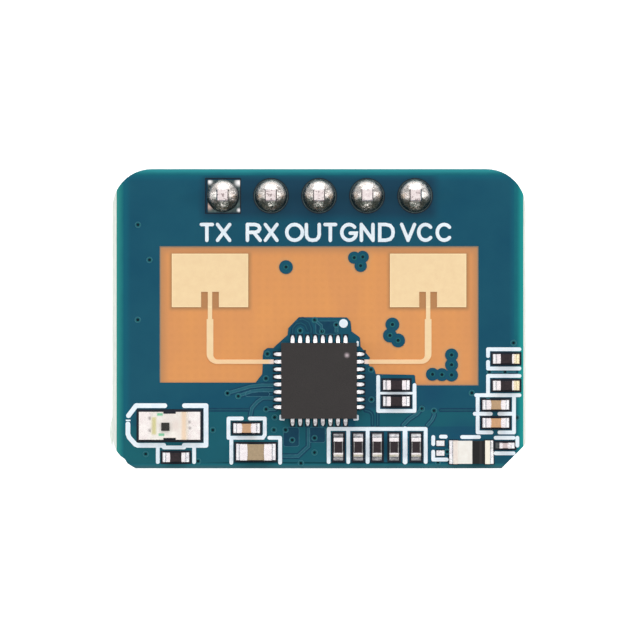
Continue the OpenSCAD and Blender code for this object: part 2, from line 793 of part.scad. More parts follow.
// One opening in the mask for each chip part and its solder, and one for the light sensor
module part_openings(sites) {
    for (site = sites) translate([site[0], site[1]]) rotate(site[2])
        square([2 * (reach(site[3]) + part_gap), site[3][1] + 2 * part_gap], center = true);
}

module front_openings() {
    part_openings(front_sites);
    translate(sensor_at)
        square([sensor_l + 2 * sensor_moat, sensor_w + 2 * sensor_moat], center = true);
}

module front_pad_shapes(grow) {
    translate([0, chip_y]) package_pads(chip_side, grow);
    for (site = front_sites) translate([site[0], site[1]]) rotate(site[2])
        chip_pads(site[3], grow);
    translate(sensor_at) for (side = [-1, 1])
        translate([side * (sensor_l - sensor_end) / 2, 0])
            square([sensor_end + 2 * grow, sensor_w + 2 * grow], center = true);
    translate(ceramic_at) chip_pads(CERAMIC, grow);
    translate(spare_at) for (s = [-1, 1]) translate([0, s * spare_pitch / 2])
        square([spare_size[0] + 2 * grow, spare_size[1] + 2 * grow], center = true);
}

module front_pads() color(TIN)
    translate([0, 0, face_z]) linear_extrude(pad_t) front_pad_shapes(0);

module front_solder() color(TIN) on_front() {
    translate([0, chip_y, 0]) package_solder(chip_side);
    for (site = front_sites) at(site) chip_solder(site[3]);
    translate([ceramic_at[0], ceramic_at[1], 0]) chip_solder(CERAMIC);
}

// White print: each outline is a chain of round-ended strokes from its group's middle
module stroke(a, b, w) {
    d = b - a;
    translate(a) circle(d = w, $fn = 20);
    translate(b) circle(d = w, $fn = 20);
    translate(a) rotate(atan2(d[1], d[0])) translate([0, -w / 2]) square([norm(d), w]);
}

module chain(points, w) {
    for (i = [0:len(points) - 2]) stroke(points[i], points[i + 1], w);
}

// The round mark and three corner marks of the radar chip
module chip_print() {
    at_corner = chip_side / 2 + 0.04;
    tick = 0.17;
    tick_w = ink_w * 0.6;
    translate([1.29, chip_side / 2 + 1.025]) circle(d = mark_d);
    chain([[at_corner, at_corner], [at_corner, at_corner - tick]], tick_w);
    for (side = [-1, 1])
        chain([[side * at_corner, tick - at_corner], [side * at_corner, -at_corner],
               [side * (at_corner - tick), -at_corner - 0.02]], tick_w);
}

// Round the light sensor, and down both sides of the resistor under it
module sensor_print() {
    x = sensor_l / 2 + 0.3;
    y = sensor_w / 2 + 0.325;
    low = -sensor_w / 2 - 0.305;
    nose = -sensor_l / 2 - 0.59;
    under = under_y - sensor_at[1] - small_w / 2;
    chain([[-0.26, y], [nose + 0.43, y], [nose + 0.03, y - 0.53]], ink_wide);
    chain([[nose, 0.09], [nose, -0.44], [nose + 0.07, -0.62], [nose + 0.39, low + 0.06],
           [nose + 0.52, low], [-0.32, low]], ink_wide);
    chain([[-0.32, low - 0.11], [0.77, low - 0.11]], ink_w);
    chain([[nose - 0.08, 0.28], [nose + 0.1, 0.28]], ink_w * 0.4);
    chain([[0.77, low], [x, low], [x, y], [0.78, y]], ink_wide);
    for (side = [-1, 1]) {
        post = under_shift + side * (reach(RESISTOR) + ink_gap);
        chain([[post, low], [post, under]], ink_w);
    }
}

// Round the two capacitors left of the middle
module store_print() {
    x = reach(CAPACITOR) + ink_gap;
    y = small_w / 2 + ink_gap;
    large_left = large_shift - reach(LARGE) - ink_gap;
    large_right = large_shift + reach(LARGE) + ink_gap - 0.02;
    base = large_at[1] - store_at[1] - large_w / 2 - 0.14;
    chain([[-0.25, y], [-x, y], [-x, -y]], ink_w);
    chain([[large_left, -y], [large_left, base]], ink_w);
    chain([[0.17, y], [x, y], [x, -0.36], [x - 0.1, -y], [-x, -y]], ink_w);
    chain([[large_right - 0.57, -y], [large_right, -y], [large_right, base]], ink_w);
}

// Round and between the upright resistors
module bank_print() {
    y = reach(RESISTOR) + ink_gap;
    foot = -reach(RESISTOR) - 0.09;
    left = -small_w / 2 - ink_gap;
    right = bank_end - bank_at[0] + ink_gap;
    chain([[left, foot], [left, y], [right, y], [right, foot]], ink_w);
    for (i = [0, 1]) {
        x = (bank_steps[i] + bank_steps[i + 1]) / 2;
        chain([[x, y], [x, foot]], ink_w);
    }
    wide_x = (bank_steps[3] + bank_steps[4]) / 2;
    chain([[wide_x, y], [wide_x, foot]], ink_wide);
}

// Round and between the two resistors beside the chip
module pair_print() {
    x = reach(RESISTOR) + ink_gap;
    y = (pair_step + small_w) / 2 + ink_gap;
    chain([[-x, y - 0.08], [-x, -y], [x, -y], [x, pair_step / 2]], ink_w);
    chain([[-x, 0], [x - 0.13, 0]], ink_w * 0.65);
}

// Round the two resistors at the board's side, open towards the edge
module edge_print() {
    x = reach(RESISTOR) + ink_gap;
    top = (edge_step + small_w) / 2 + ink_gap;
    inner = (edge_step - small_w) / 2 - ink_gap;
    chain([[x - ink_gap, top], [-x, top], [-x, top - 0.36]], ink_w);
    chain([[-x, inner + 0.35], [-x, inner], [x - ink_gap, inner]], ink_w);
    chain([[x - ink_gap, -inner], [-x, -inner], [-x, -top]], ink_w);
    chain([[-x - 0.63, -top], [x - ink_gap, -top]], ink_w);
}

// Round the two capacitors under them
module right_print() {
    x = reach(CAPACITOR) + ink_gap;
    low = -(right_step + small_w) / 2 - ink_gap;
    top = edge_at[1] - right_at[1] - (edge_step + small_w) / 2 - ink_gap;
    chain([[-x, top], [-x, 0.18]], ink_w);
    chain([[-x, -0.17], [-x, low], [-0.23, low]], ink_w);
    chain([[x, top], [x, low], [0.19, low]], ink_w);
    chain([[-x - 0.15, 0], [-0.27, 0]], ink_w);
    chain([[0.19, 0], [x, 0]], ink_w);
}

// Beside the chip antenna, the spare pads and the tiny capacitor
module small_print() {
    translate(ceramic_at) chain([[-0.49, ceramic_w / 2 + 0.18], [0.4, ceramic_w / 2 + 0.18]], ink_w);
    translate(spare_at) {
        x = -spare_size[0] / 2 - 0.17;
        chain([[x, 0.22], [x, 0.59]], ink_w);
        chain([[0.03, 0.61], [0.28, 0.61]], ink_w);
        chain([[x, -0.19], [x, -0.6], [x + 0.71, -0.6]], ink_w);
    }
    translate(tiny_at) {
        for (y = [-1, 1] * (tiny_w / 2 + ink_gap))
            chain([[-reach(TINY), y], [reach(TINY) - 0.05, y]], ink_w);
        chain([[reach(TINY) + 0.15, 0], [reach(TINY) + 0.15, tiny_w / 2 + ink_gap]], ink_w);
    }
}

module front_print() color("white")
    translate([0, 0, face_z + mask_t]) linear_extrude(ink_t) {
        translate([0, chip_y]) chip_print();
        translate(sensor_at) sensor_print();
        translate(store_at) store_print();
        translate(bank_at) bank_print();
        translate(pair_at) pair_print();
        translate(edge_at) edge_print();
        translate(right_at) right_print();
        small_print();
    }

// Parts behind the board
module mcu_frame() on_back() translate([mcu_at[0], mcu_at[1], 0]) children();
module microcontroller_body() color(BLACK) mcu_frame() package_body(chip_side, mcu_h);
module microcontroller_leads() color(TIN) mcu_frame() package_leads(chip_side);

module crystal_frame() on_back() translate([crystal_at[0], crystal_at[1], 0]) children();

module crystal_base() color(TAN) crystal_frame()
    translate([0, 0, crystal_base_h / 2])
        cube([crystal_l, crystal_w, crystal_base_h], center = true);

module crystal_lid() color(TIN) crystal_frame()
    translate([0, 0, crystal_base_h + crystal_lid_h / 2])
        cube([crystal_l - 2 * crystal_rim, crystal_w - 2 * crystal_rim, crystal_lid_h],
             center = true);

module regulator_frame() on_back() translate([regulator_at[0], regulator_at[1], 0]) children();

module regulator_body() color(BLACK) regulator_frame() difference() {
    half = regulator_w / 2;
    rotate([90, 0, 90]) linear_extrude(regulator_l, center = true)
        polygon([[-half + body_draft, body_lift], [half - body_draft, body_lift],
                 [half, lead_exit], [half - body_draft, regulator_h + body_lift],
                 [-half + body_draft, regulator_h + body_lift], [-half, lead_exit]]);
    regulator_lead_set();
}

// A gull-wing lead, drawn along its bend from inside the body to its foot
module gull_wing() {
    half = regulator_w / 2;
    knee = half + regulator_reach * lead_knee;
    foot = half + regulator_reach * lead_foot;
    tip = half + regulator_reach;
    t = regulator_lead_t;
    rotate([90, 0, 90]) linear_extrude(regulator_lead_w, center = true)
        polygon([[half - lead_root, lead_exit - t / 2], [knee - t / 2, lead_exit - t / 2],
                 [foot - t / 2, 0], [tip, 0], [tip, t], [foot + t / 2, t],
                 [knee + t / 2, lead_exit + t / 2], [half - lead_root, lead_exit + t / 2]]);
}

module regulator_lead_set() {
    gull_wing();
    for (s = [-1, 1]) translate([s * regulator_pitch, 0, 0]) mirror([0, 1, 0]) gull_wing();
}

module regulator_leads() color(TIN) regulator_frame() regulator_lead_set();

module regulator_pads(grow) {
    middle = regulator_w / 2 + regulator_reach * (1 + lead_foot) / 2;
    size = [regulator_lead_w + pad_play + 2 * grow, regulator_reach * pad_share + 2 * grow];
    translate([0, middle]) square(size, center = true);
    for (s = [-1, 1]) translate([s * regulator_pitch, -middle]) square(size, center = true);
}

module back_pad_shapes(grow) {
    translate(mcu_at) package_pads(chip_side, grow);
    translate(crystal_at) for (x = [-1, 1]) for (y = [-1, 1])
        translate([x * (crystal_l / 2 - crystal_pad_inset[0]), y * (crystal_w / 2 - crystal_pad_inset[1])])
            square([crystal_pad[0] + 2 * grow, crystal_pad[1] + 2 * grow], center = true);
    translate(regulator_at) regulator_pads(grow);
    for (site = back_sites) translate([site[0], site[1]]) rotate(site[2])
        chip_pads(site[3], grow);
}

module back_pads() color(TIN)
    translate([0, 0, back_part_z]) linear_extrude(pad_t) back_pad_shapes(0);

module back_solder() color(TIN) on_back() {
    translate([mcu_at[0], mcu_at[1], 0]) package_solder(chip_side);
    for (site = back_sites) at(site) chip_solder(site[3]);
}

board_core();
solder_mask_front();
solder_mask_back();
plated_holes();
transmit_antenna();
receive_antenna();
header_strip();
for (i = [1:pin_count]) {
    header_pin(i);
    solder_joint(i);
}
radar_chip_body();
radar_chip_leads();
sensor_base();
sensor_terminals();
sensor_die();
sensor_lens();
chip_antenna();
for (i = [1:len(resistor_sites)])
    resistor(i);
for (i = [1:len(capacitor_sites)])
    capacitor(i);
front_pads();
front_solder();
front_print();
microcontroller_body();
microcontroller_leads();
crystal_base();
crystal_lid();
regulator_body();
regulator_leads();
for (i = [1:len(back_capacitor_sites)])
    back_capacitor(i);
for (i = [1:len(back_resistor_sites)])
    back_resistor(i);
back_pads();
back_solder();
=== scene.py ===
"""Looks of the microwave radar sensor module: finishes, fine relief and print on the solids."""

import math

import bmesh
import bpy
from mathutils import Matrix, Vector


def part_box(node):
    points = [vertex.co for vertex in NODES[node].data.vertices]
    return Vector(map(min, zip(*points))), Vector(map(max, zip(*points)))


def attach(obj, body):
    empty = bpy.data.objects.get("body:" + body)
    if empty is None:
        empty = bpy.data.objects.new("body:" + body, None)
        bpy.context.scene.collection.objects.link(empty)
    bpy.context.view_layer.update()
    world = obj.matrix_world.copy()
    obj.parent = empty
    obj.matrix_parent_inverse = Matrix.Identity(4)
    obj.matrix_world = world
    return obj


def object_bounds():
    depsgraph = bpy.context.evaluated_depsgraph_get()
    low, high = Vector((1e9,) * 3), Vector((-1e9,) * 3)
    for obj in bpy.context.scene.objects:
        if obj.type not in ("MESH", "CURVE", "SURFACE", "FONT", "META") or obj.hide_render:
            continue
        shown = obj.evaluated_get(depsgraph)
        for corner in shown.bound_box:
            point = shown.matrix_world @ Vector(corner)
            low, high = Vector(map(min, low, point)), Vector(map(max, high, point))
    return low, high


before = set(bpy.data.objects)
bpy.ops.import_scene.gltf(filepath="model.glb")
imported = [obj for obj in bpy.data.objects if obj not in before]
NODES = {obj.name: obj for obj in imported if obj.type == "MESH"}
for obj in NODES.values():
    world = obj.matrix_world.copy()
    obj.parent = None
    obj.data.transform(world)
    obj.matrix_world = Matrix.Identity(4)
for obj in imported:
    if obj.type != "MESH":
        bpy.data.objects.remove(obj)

MM = 0.001
SAME_PLACE = 0.0005  # vertices closer than this are one, in millimetres
PLASTIC_IOR = 1.5
MASK_GLOSS = 0.08  # specular level of solder mask
WAVES = 3.2  # bands that a wave texture of scale 1 has in a unit
CAD_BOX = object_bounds()

# Heights and places in millimetres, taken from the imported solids
BOARD_LOW, BOARD_HIGH = (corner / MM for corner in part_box("board_core"))
MASK_LOW, MASK_HIGH = (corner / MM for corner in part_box("solder_mask_front"))
FACE_Z = MASK_LOW.z
MASK_Z = MASK_HIGH.z
POUR_STEP, TRACE_STEP = 0.005, 0.011  # rise of the mask over the pour and over traces
LAYER = 0.0001  # step between strokes that cross, so that no two tops share a plane
PRINT_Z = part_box("front_print")[1].z / MM
BACK_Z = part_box("solder_mask_back")[0].z / MM
CHIP_LOW, CHIP_HIGH = (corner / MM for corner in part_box("radar_chip_body"))
CHIP = (CHIP_LOW + CHIP_HIGH) / 2
LEAD_PITCH = 0.4
LEAD_ROW = 1.55  # half the length of a row of leads
LEAD_TOE = 0.4  # the solder in front of a lead
TOE_HALF = 0.235  # half a toe's width, as a share of the pitch
TOE_CURVE = 2.6  # how fast a toe's end falls back beside its middle
CHIP_REACH = CHIP_HIGH.x + LEAD_TOE
PINS = ["header_pin_%d" % i for i in range(1, 6)]
PIN_XS = [sum(corner.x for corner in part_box(name)) / 2 / MM for name in PINS]
PIN_PITCH = PIN_XS[1] - PIN_XS[0]
TIP_Z = PRINT_Z + 1.0  # the pins are worn above this height
# The window in the mask, from -WINDOW_X to WINDOW_X, and the two patches, at -PATCH_X and PATCH_X
WINDOW_X, WINDOW_LOW, WINDOW_HIGH = 8.435, -10.03, -2.66
PATCH_X, PATCH_W, PATCH_LOW, PATCH_HIGH = 5.77, 4.04, -5.89, -3.06
# Round spots of mask inside the window: x, y and radius
DOTS = [(-1.75, -3.77, 0.366), (1.86, -3.27, 0.328), (2.31, -3.23, 0.328), (2.20, -3.70, 0.328),
        (3.88, -6.81, 0.369), (3.75, -7.39, 0.369), (4.18, -7.65, 0.369), (7.01, -8.42, 0.345),
        (7.01, -8.94, 0.345), (7.01, -9.48, 0.345), (6.50, -9.46, 0.345), (6.0, -9.44, 0.345)]
MIDDLE = Vector((0, (BOARD_LOW.y + BOARD_HIGH.y) / 2, FACE_Z))


def tint(red, green, blue):
    """A colour on the 0-255 screen scale as the linear colour that a shader takes."""
    def linear(value):
        value /= 255
        return value / 12.92 if value <= 0.04045 else ((value + 0.055) / 1.055) ** 2.4
    return (linear(red), linear(green), linear(blue), 1)


class Tree:
    """The nodes of a material or of the world."""

    def __init__(self, tree):
        self.nodes, self.links = tree.nodes, tree.links

    def feed(self, socket, value):
        """Links an output to a socket, or sets the socket to a constant."""
        if isinstance(value, bpy.types.NodeSocket):
            self.links.new(value, socket)
        else:
            socket.default_value = value

    def split(self, vector):
        node = self.nodes.new("ShaderNodeSeparateXYZ")
        self.links.new(vector, node.inputs[0])
        return node.outputs

    def math(self, operation, *values):
        node = self.nodes.new("ShaderNodeMath")
        node.operation = operation
        for socket, value in zip(node.inputs, values):
            self.feed(socket, value)
        return node.outputs[0]


class Finish(Tree):
    """One procedural material. Patterns are laid out in the row frame, in millimetres."""

    def __init__(self, name, **sockets):
        self.material = bpy.data.materials.new(name)
        self.material.use_nodes = True
        super().__init__(self.material.node_tree)
        self.nodes.clear()
        self.shader = self.nodes.new("ShaderNodeBsdfPrincipled")
        out = self.nodes.new("ShaderNodeOutputMaterial")
        self.links.new(self.shader.outputs["BSDF"], out.inputs["Surface"])
        for socket, value in {"IOR": PLASTIC_IOR, **sockets}.items():
            self.shader.inputs[socket.replace("_", " ")].default_value = value
        coords = self.nodes.new("ShaderNodeTexCoord")
        self.facing = coords.outputs["Normal"]
        scale = self.nodes.new("ShaderNodeVectorMath")
        scale.operation = "SCALE"
        scale.inputs["Scale"].default_value = 1 / MM
        self.links.new(coords.outputs["Object"], scale.inputs[0])
        self.place = scale.outputs["Vector"]
        self.x, self.y, self.z = self.split(self.place)

    def times(self, first, second):
        return self.math("MULTIPLY", first, second)

    def less(self, first, second):
        return self.math("SUBTRACT", first, second)

    def apart(self, first, second):
        return self.math("ABSOLUTE", self.less(first, second))

    def flip(self, mask):
        """1 where a mask is 0, and 0 where it is 1."""
        return self.less(1.0, mask)

    def above(self, value, level, soft=0.02):
        """0 below the level and 1 above it, with a soft step."""
        node = self.nodes.new("ShaderNodeMapRange")
        node.interpolation_type = "SMOOTHSTEP"
        self.feed(node.inputs["Value"], value)
        node.inputs["From Min"].default_value = level - soft
        node.inputs["From Max"].default_value = level + soft
        return node.outputs["Result"]

    def below(self, value, level, soft=0.02):
        return self.flip(self.above(value, level, soft))

    def between(self, value, low, high, soft=0.02):
        return self.times(self.above(value, low, soft), self.below(value, high, soft))

    def box(self, low, high, soft=0.02):
        """1 inside a rectangle of the board, given by two corners."""
        return self.times(self.between(self.x, low[0], high[0], soft),
                          self.between(self.y, low[1], high[1], soft))

    def blob(self, centre, radius):
        """1 at a point of the board, fading to 0 at the radius."""
        node = self.nodes.new("ShaderNodeVectorMath")
        node.operation = "DISTANCE"
        flat = self.nodes.new("ShaderNodeCombineXYZ")
        self.links.new(self.x, flat.inputs[0])
        self.links.new(self.y, flat.inputs[1])
        self.links.new(flat.outputs[0], node.inputs[0])
        node.inputs[1].default_value = (centre[0], centre[1], 0)
        return self.below(node.outputs["Value"], radius / 2, radius / 2)

    def noise(self, scale, detail=2.0, rough=0.5, stretch=(1, 1, 1)):
        node = self.nodes.new("ShaderNodeTexNoise")
        node.inputs["Scale"].default_value = scale
        node.inputs["Detail"].default_value = detail
        node.inputs["Roughness"].default_value = rough
        vector = self.place
        if tuple(stretch) != (1, 1, 1):
            stretched = self.nodes.new("ShaderNodeVectorMath")
            stretched.operation = "MULTIPLY"
            self.links.new(vector, stretched.inputs[0])
            stretched.inputs[1].default_value = stretch
            vector = stretched.outputs["Vector"]
        self.links.new(vector, node.inputs["Vector"])
        return node.outputs["Fac"]

    def weave(self, pitch):
        """Crossed bands of a woven glass cloth."""
        bands = []
        for axis in ("X", "Y"):
            node = self.nodes.new("ShaderNodeTexWave")
            node.bands_direction = axis
            node.inputs["Scale"].default_value = 1 / (pitch * WAVES)
            node.inputs["Distortion"].default_value = 1.2
            node.inputs["Detail"].default_value = 1.5
            self.links.new(self.place, node.inputs["Vector"])
            bands.append(node.outputs["Fac"])
        return self.times(*bands)

    def mix(self, factor, first, second):
        node = self.nodes.new("ShaderNodeMix")
        node.data_type = "RGBA"
        self.feed(node.inputs["Factor"], factor)
        self.feed(node.inputs["A"], first)
        self.feed(node.inputs["B"], second)
        return node.outputs["Result"]

    def tinge(self, base, mask, share, colour):
        """The base with a share of the colour where the mask is 1."""
        return self.mix(self.times(mask, share), base, colour)

    def clouds(self, noise, first, second):
        """Two colours that follow a noise."""
        return self.mix(self.ramp(noise, 0, 1), first, second)

    def ramp(self, value, low, high):
        """Maps 0.3-0.7 of a noise to a range of numbers."""
        node = self.nodes.new("ShaderNodeMapRange")
        self.feed(node.inputs["Value"], value)
        node.inputs["From Min"].default_value = 0.3
        node.inputs["From Max"].default_value = 0.7
        node.inputs["To Min"].default_value = low
        node.inputs["To Max"].default_value = high
        return node.outputs["Result"]

    def colour(self, value):
        self.feed(self.shader.inputs["Base Color"], value)
        return self

    def rough(self, value):
        self.feed(self.shader.inputs["Roughness"], value)
        return self

    def wear(self, low, high, *pattern):
        """Roughness that follows a noise."""
        return self.rough(self.ramp(self.noise(*pattern), low, high))

    def metal(self, value):
        self.feed(self.shader.inputs["Metallic"], value)
        return self

    def bump(self, height, depth):
        """Relief of the given depth in millimetres."""
        node = self.nodes.new("ShaderNodeBump")
        node.inputs["Strength"].default_value = 1
        node.inputs["Distance"].default_value = depth * MM
        self.links.new(height, node.inputs["Height"])
        self.links.new(node.outputs["Normal"], self.shader.inputs["Normal"])
        return self


# Materials
def over_copper_colour(finish):
    """Solder mask over copper: blue, darker round the pins and teal at the bottom."""
    base = finish.clouds(finish.noise(0.35, 3, 0.6), tint(18, 78, 101), tint(25, 86, 106))
    rim = finish.box((MASK_LOW.x + 0.62, MASK_LOW.y - 1), (MASK_HIGH.x - 0.62, MASK_HIGH.y - 0.5),
                     0.18)
    base = finish.tinge(base, finish.flip(rim), 0.8, tint(16, 97, 116))
    # Teal boxes with straight edges, then soft patches: place, radius, share and colour
    for low, high in (((-6.05, -15), (1.0, -11.33)), ((1.9, -12.2), (8.25, -11.33)),
                      ((-10.5, -15), (-6.05, -12.2))):
        base = finish.tinge(base, finish.box(low, high, 0.012), 0.75, tint(24, 94, 106))
    for place, radius, share, colour in (((7.6, -12.6), 1.4, 0.6, tint(20, 74, 102)),
                                         ((-9.6, -14), 2.6, 0.5, tint(26, 102, 108)),
                                         ((5.9, -10.5), 1.2, 0.5, tint(18, 68, 98))):
        base = finish.tinge(base, finish.blob(place, radius), share, colour)
    beside_chip = finish.box((2.4, -11.2), (3.02, -9.4), 0.1)
    base = finish.tinge(base, beside_chip, 0.6, tint(24, 64, 86))
    pins = finish.box((PIN_XS[0] - 1.1, -1.15), (PIN_XS[-1] + 1.1, 1.05), 0.35)
    base = finish.tinge(base, pins, 0.75, tint(24, 56, 78))
    low = finish.below(finish.y, MASK_LOW.y + 0.3, 0.25)
    return finish.tinge(base, low, 0.6, tint(34, 88, 100))


def mask_finish():
    """Mask without copper under it: brighter towards the board's edges."""
    finish = Finish("solder_mask", Specular_IOR_Level=MASK_GLOSS)
    base = finish.clouds(finish.noise(1.1, 3, 0.6), tint(18, 98, 112), tint(22, 106, 118))
    window = finish.box((-WINDOW_X, WINDOW_LOW - 0.3), (WINDOW_X, WINDOW_HIGH), 0.02)
    window = finish.times(window, finish.above(finish.z, FACE_Z - 0.1))
    base = finish.mix(window, base, tint(20, 76, 90))
    left = finish.below(finish.x, MASK_LOW.x + 0.2, 0.22)
    base = finish.mix(left, base, tint(46, 140, 134))
    base = finish.mix(finish.above(finish.x, MASK_HIGH.x - 0.2, 0.2), base, tint(32, 152, 149))
    base = finish.mix(finish.above(finish.y, MASK_HIGH.y - 0.17, 0.14), base, tint(46, 146, 152))
    bottom = finish.below(finish.y, MASK_LOW.y + 0.13, 0.14)
    finish.colour(finish.mix(bottom, base, tint(60, 98, 106)))
    finish.wear(0.3, 0.4, 6, 2)
    return finish.bump(finish.noise(3.2, 3, 0.6), 0.004)


def pour_finish():
    """Mask over the copper that fills the face between the traces."""
    finish = Finish("solder_mask_over_copper", Specular_IOR_Level=MASK_GLOSS)
    finish.colour(over_copper_colour(finish))
    finish.wear(0.3, 0.4, 6, 2)
    return finish.bump(finish.noise(3.2, 3, 0.6), 0.004)


def plain_mask_finish(name, clouds, first, second, low, high, grain=6):
    """Mask of two colours, for strokes that are too thin to show more."""
    finish = Finish(name, Specular_IOR_Level=MASK_GLOSS)
    finish.colour(finish.clouds(finish.noise(*clouds), first, second))
    return finish.wear(low, high, grain, 2)


def laminate_finish():
    """Cream glass at the board's sides, and tan where it shows in the window in the mask, with
    painted shade round the patches and the parts.
    """
    finish = Finish("laminate", Specular_IOR_Level=0.2)
    glass = finish.clouds(finish.noise(1.6, 3, 0.6, (1, 1, 6)), tint(246, 251, 242),
                          tint(232, 240, 232))
    cloth = finish.clouds(finish.noise(0.45, 3, 0.55, (1.5, 0.6, 1)), tint(219, 149, 92),
                          tint(227, 155, 91))
    cloth = finish.tinge(cloth, finish.weave(0.42), 0.15, tint(206, 138, 84))
    for x, y, _ in DOTS:
        cloth = finish.tinge(cloth, finish.blob((x, y), 0.62), 0.8, tint(196, 162, 122))
    # Painted shade on the laminate round each patch, wider to the right and the bottom
    for side in (-1, 1):
        middle = side * PATCH_X
        near = finish.box((middle - PATCH_W / 2 - 0.1, PATCH_LOW - 0.14),
                          (middle + PATCH_W / 2 + 0.14, PATCH_HIGH + 0.08), 0.14)
        cloth = finish.tinge(cloth, near, 0.7, tint(164, 122, 84))
    rim = finish.box((-WINDOW_X + 0.3, WINDOW_LOW + 0.1), (WINDOW_X - 0.3, WINDOW_HIGH - 0.3), 0.28)
    cloth = finish.tinge(cloth, finish.flip(rim), 0.75, tint(184, 132, 92))
    line = finish.box((-WINDOW_X + 0.06, WINDOW_LOW + 0.03), (WINDOW_X - 0.06, WINDOW_HIGH - 0.07),
                      0.05)
    cloth = finish.tinge(cloth, finish.flip(line), 0.9, tint(150, 136, 118))
    window = finish.box((-WINDOW_X - 0.1, WINDOW_LOW - 0.3), (WINDOW_X + 0.1, WINDOW_HIGH + 0.1))
    wide, deep = LEAD_ROW + 0.07, LEAD_TOE + 0.08
    for low, high in (((CHIP_LOW.x - deep, CHIP.y - wide), (CHIP_HIGH.x + deep, CHIP.y + wide)),
                      ((CHIP.x - wide, CHIP_LOW.y), (CHIP.x + wide, CHIP_HIGH.y + deep)),
                      ((3.2, -10.6), (5.0, -9.6))):
        window = finish.times(window, finish.flip(finish.box(low, high)))
    # Away from the open window (outside it, and round the radar chip and a part beside it) the
    # laminate's top shows only in openings round parts and pads. It is dark there: partly the dark
    # edges of the mask's openings, partly painted shade from the parts.
    bare = finish.mix(window, tint(30, 36, 48), cloth)
    up = finish.times(finish.above(finish.split(finish.facing)[2], 0.9, 0.05),
                      finish.above(finish.z, FACE_Z - 0.05, 0.02))
    finish.colour(finish.mix(up, glass, bare))
    finish.wear(0.45, 0.6, 8, 2)
    return finish.bump(finish.noise(5, 3, 0.6), 0.006)


def gold_finish():
    """Immersion gold on copper, with a painted highlight along the edges of the patches."""
    finish = Finish("bare_copper", Metallic=0.15, Specular_IOR_Level=0.3)
    colour = finish.clouds(finish.noise(2.2, 4, 0.65), tint(242, 211, 164), tint(247, 219, 172))
    for side in (-1, 1):
        middle = side * PATCH_X
        # Painted highlight in a band along each patch's edges
        inner = finish.box((middle - PATCH_W / 2 + 0.05, PATCH_LOW + 0.05),
                           (middle + PATCH_W / 2 - 0.05, PATCH_HIGH - 0.05), 0.03)
        outer = finish.box((middle - PATCH_W / 2 - 0.1, PATCH_LOW - 0.02),
                           (middle + PATCH_W / 2 + 0.1, PATCH_HIGH + 0.1), 0.01)
        rim = finish.times(outer, finish.flip(inner))
        colour = finish.tinge(colour, rim, 0.7, tint(255, 232, 184))
        ends = sorted(side * (CHIP_HIGH.x + reach) for reach in (0.3, 0.62))
        foot = finish.between(finish.x, *ends, 0.12)
        colour = finish.mix(foot, colour, tint(252, 240, 240))
    thin = finish.below(finish.y, -8.6, 0.05)
    colour = finish.tinge(colour, thin, 0.35, tint(250, 196, 148))
    finish.colour(colour)
    finish.wear(0.38, 0.5, 14, 3)
    return finish.bump(finish.noise(22, 3, 0.6), 0.002)


def tin_finish(name, light=tint(250, 250, 250), dark=tint(222, 216, 222), depth=0.008, toes=False):
    """Bright tin. With toes, the solder of the radar chip's leads narrows towards its tips."""
    finish = Finish(name, Metallic=0.5 if toes else 0.75)
    colour = finish.clouds(finish.noise(4.5, 4, 0.6), light, dark)
    if toes:
        for along, origin, across, middle in ((finish.x, CHIP.x, finish.y, CHIP.y),
                                              (finish.y, CHIP.y, finish.x, CHIP.x)):
            out = finish.apart(along, origin)
            step = finish.math("DIVIDE", finish.less(across, middle), LEAD_PITCH)
            aside = finish.apart(finish.math("FRACT", step), 0.5)
            bulge = finish.times(finish.times(aside, aside), TOE_CURVE)
            tip = finish.above(finish.math("ADD", bulge, out), CHIP_REACH - 0.005, 0.035)
            if along is finish.x:
                tip = finish.math("MAXIMUM", tip, finish.above(aside, TOE_HALF, 0.04))
            row = finish.between(across, middle - LEAD_ROW, middle + LEAD_ROW)
            near = finish.between(out, CHIP_REACH - 0.5, CHIP_REACH + 0.05)
            shade = finish.times(tip, finish.times(row, near))
            shade = finish.times(shade, finish.above(finish.z, FACE_Z - 0.1))
            colour = finish.mix(shade, colour, tint(30, 58, 70))
        # Stains: dull solder at the bottom, cream in the right column, dark at the tiny part
        dull = finish.ramp(finish.noise(5, 3, 0.7), 0.25, 0.95)
        for low, high, share, stain_and_shade in (
                ((0.6, -14.6), (5.7, -12.5), dull, tint(112, 112, 116)),
                ((10.36, -10.42), (10.95, -8.28), 0.85, tint(238, 220, 172)),
                ((9.2, -13.5), (9.54, -12.9), 0.9, tint(40, 52, 56))):
            colour = finish.tinge(colour, finish.box(low, high), share, stain_and_shade)
    finish.colour(colour)
    finish.wear(0.22, 0.36, 9, 3)
    return finish.bump(finish.noise(7, 3, 0.55), depth)


def joint_finish(i):
    """Solder round a pin: bright to the north, with a painted dark reflection over its south half
    and at its rim.
    """
    x = PIN_XS[i - 1]
    finish = Finish("solder_joint_%d_tin" % i, Metallic=1.0)
    cloud = finish.noise(2.6, 4, 0.65)
    colour = finish.clouds(cloud, tint(246, 242, 238), tint(206, 196, 190))
    # Painted dark reflection over the south half of the joint, which faces away from the brightest
    # lamps
    south = finish.math("MULTIPLY_ADD", finish.less(cloud, 0.5), 1.6, finish.y)
    stain_and_shade = finish.below(south, -0.16, 0.26)
    colour = finish.tinge(colour, stain_and_shade, 0.88, tint(74, 88, 78))
    # Painted dark reflection of the mask round the joint's rim
    core = finish.blob((x, 0), 1.5)
    rim = finish.below(core, 0.47, 0.15)
    colour = finish.tinge(colour, rim, 0.88, tint(72, 86, 84))
    # Painted glints in the south half
    spark = finish.above(finish.noise(9, 2, 0.7), 0.54, 0.04)
    colour = finish.tinge(colour, finish.blob((x, -0.55), 0.42), spark, tint(246, 240, 232))
    finish.colour(colour)
    finish.wear(0.16, 0.34, 6, 3)
    return finish.bump(finish.noise(3.4, 4, 0.62), 0.05)


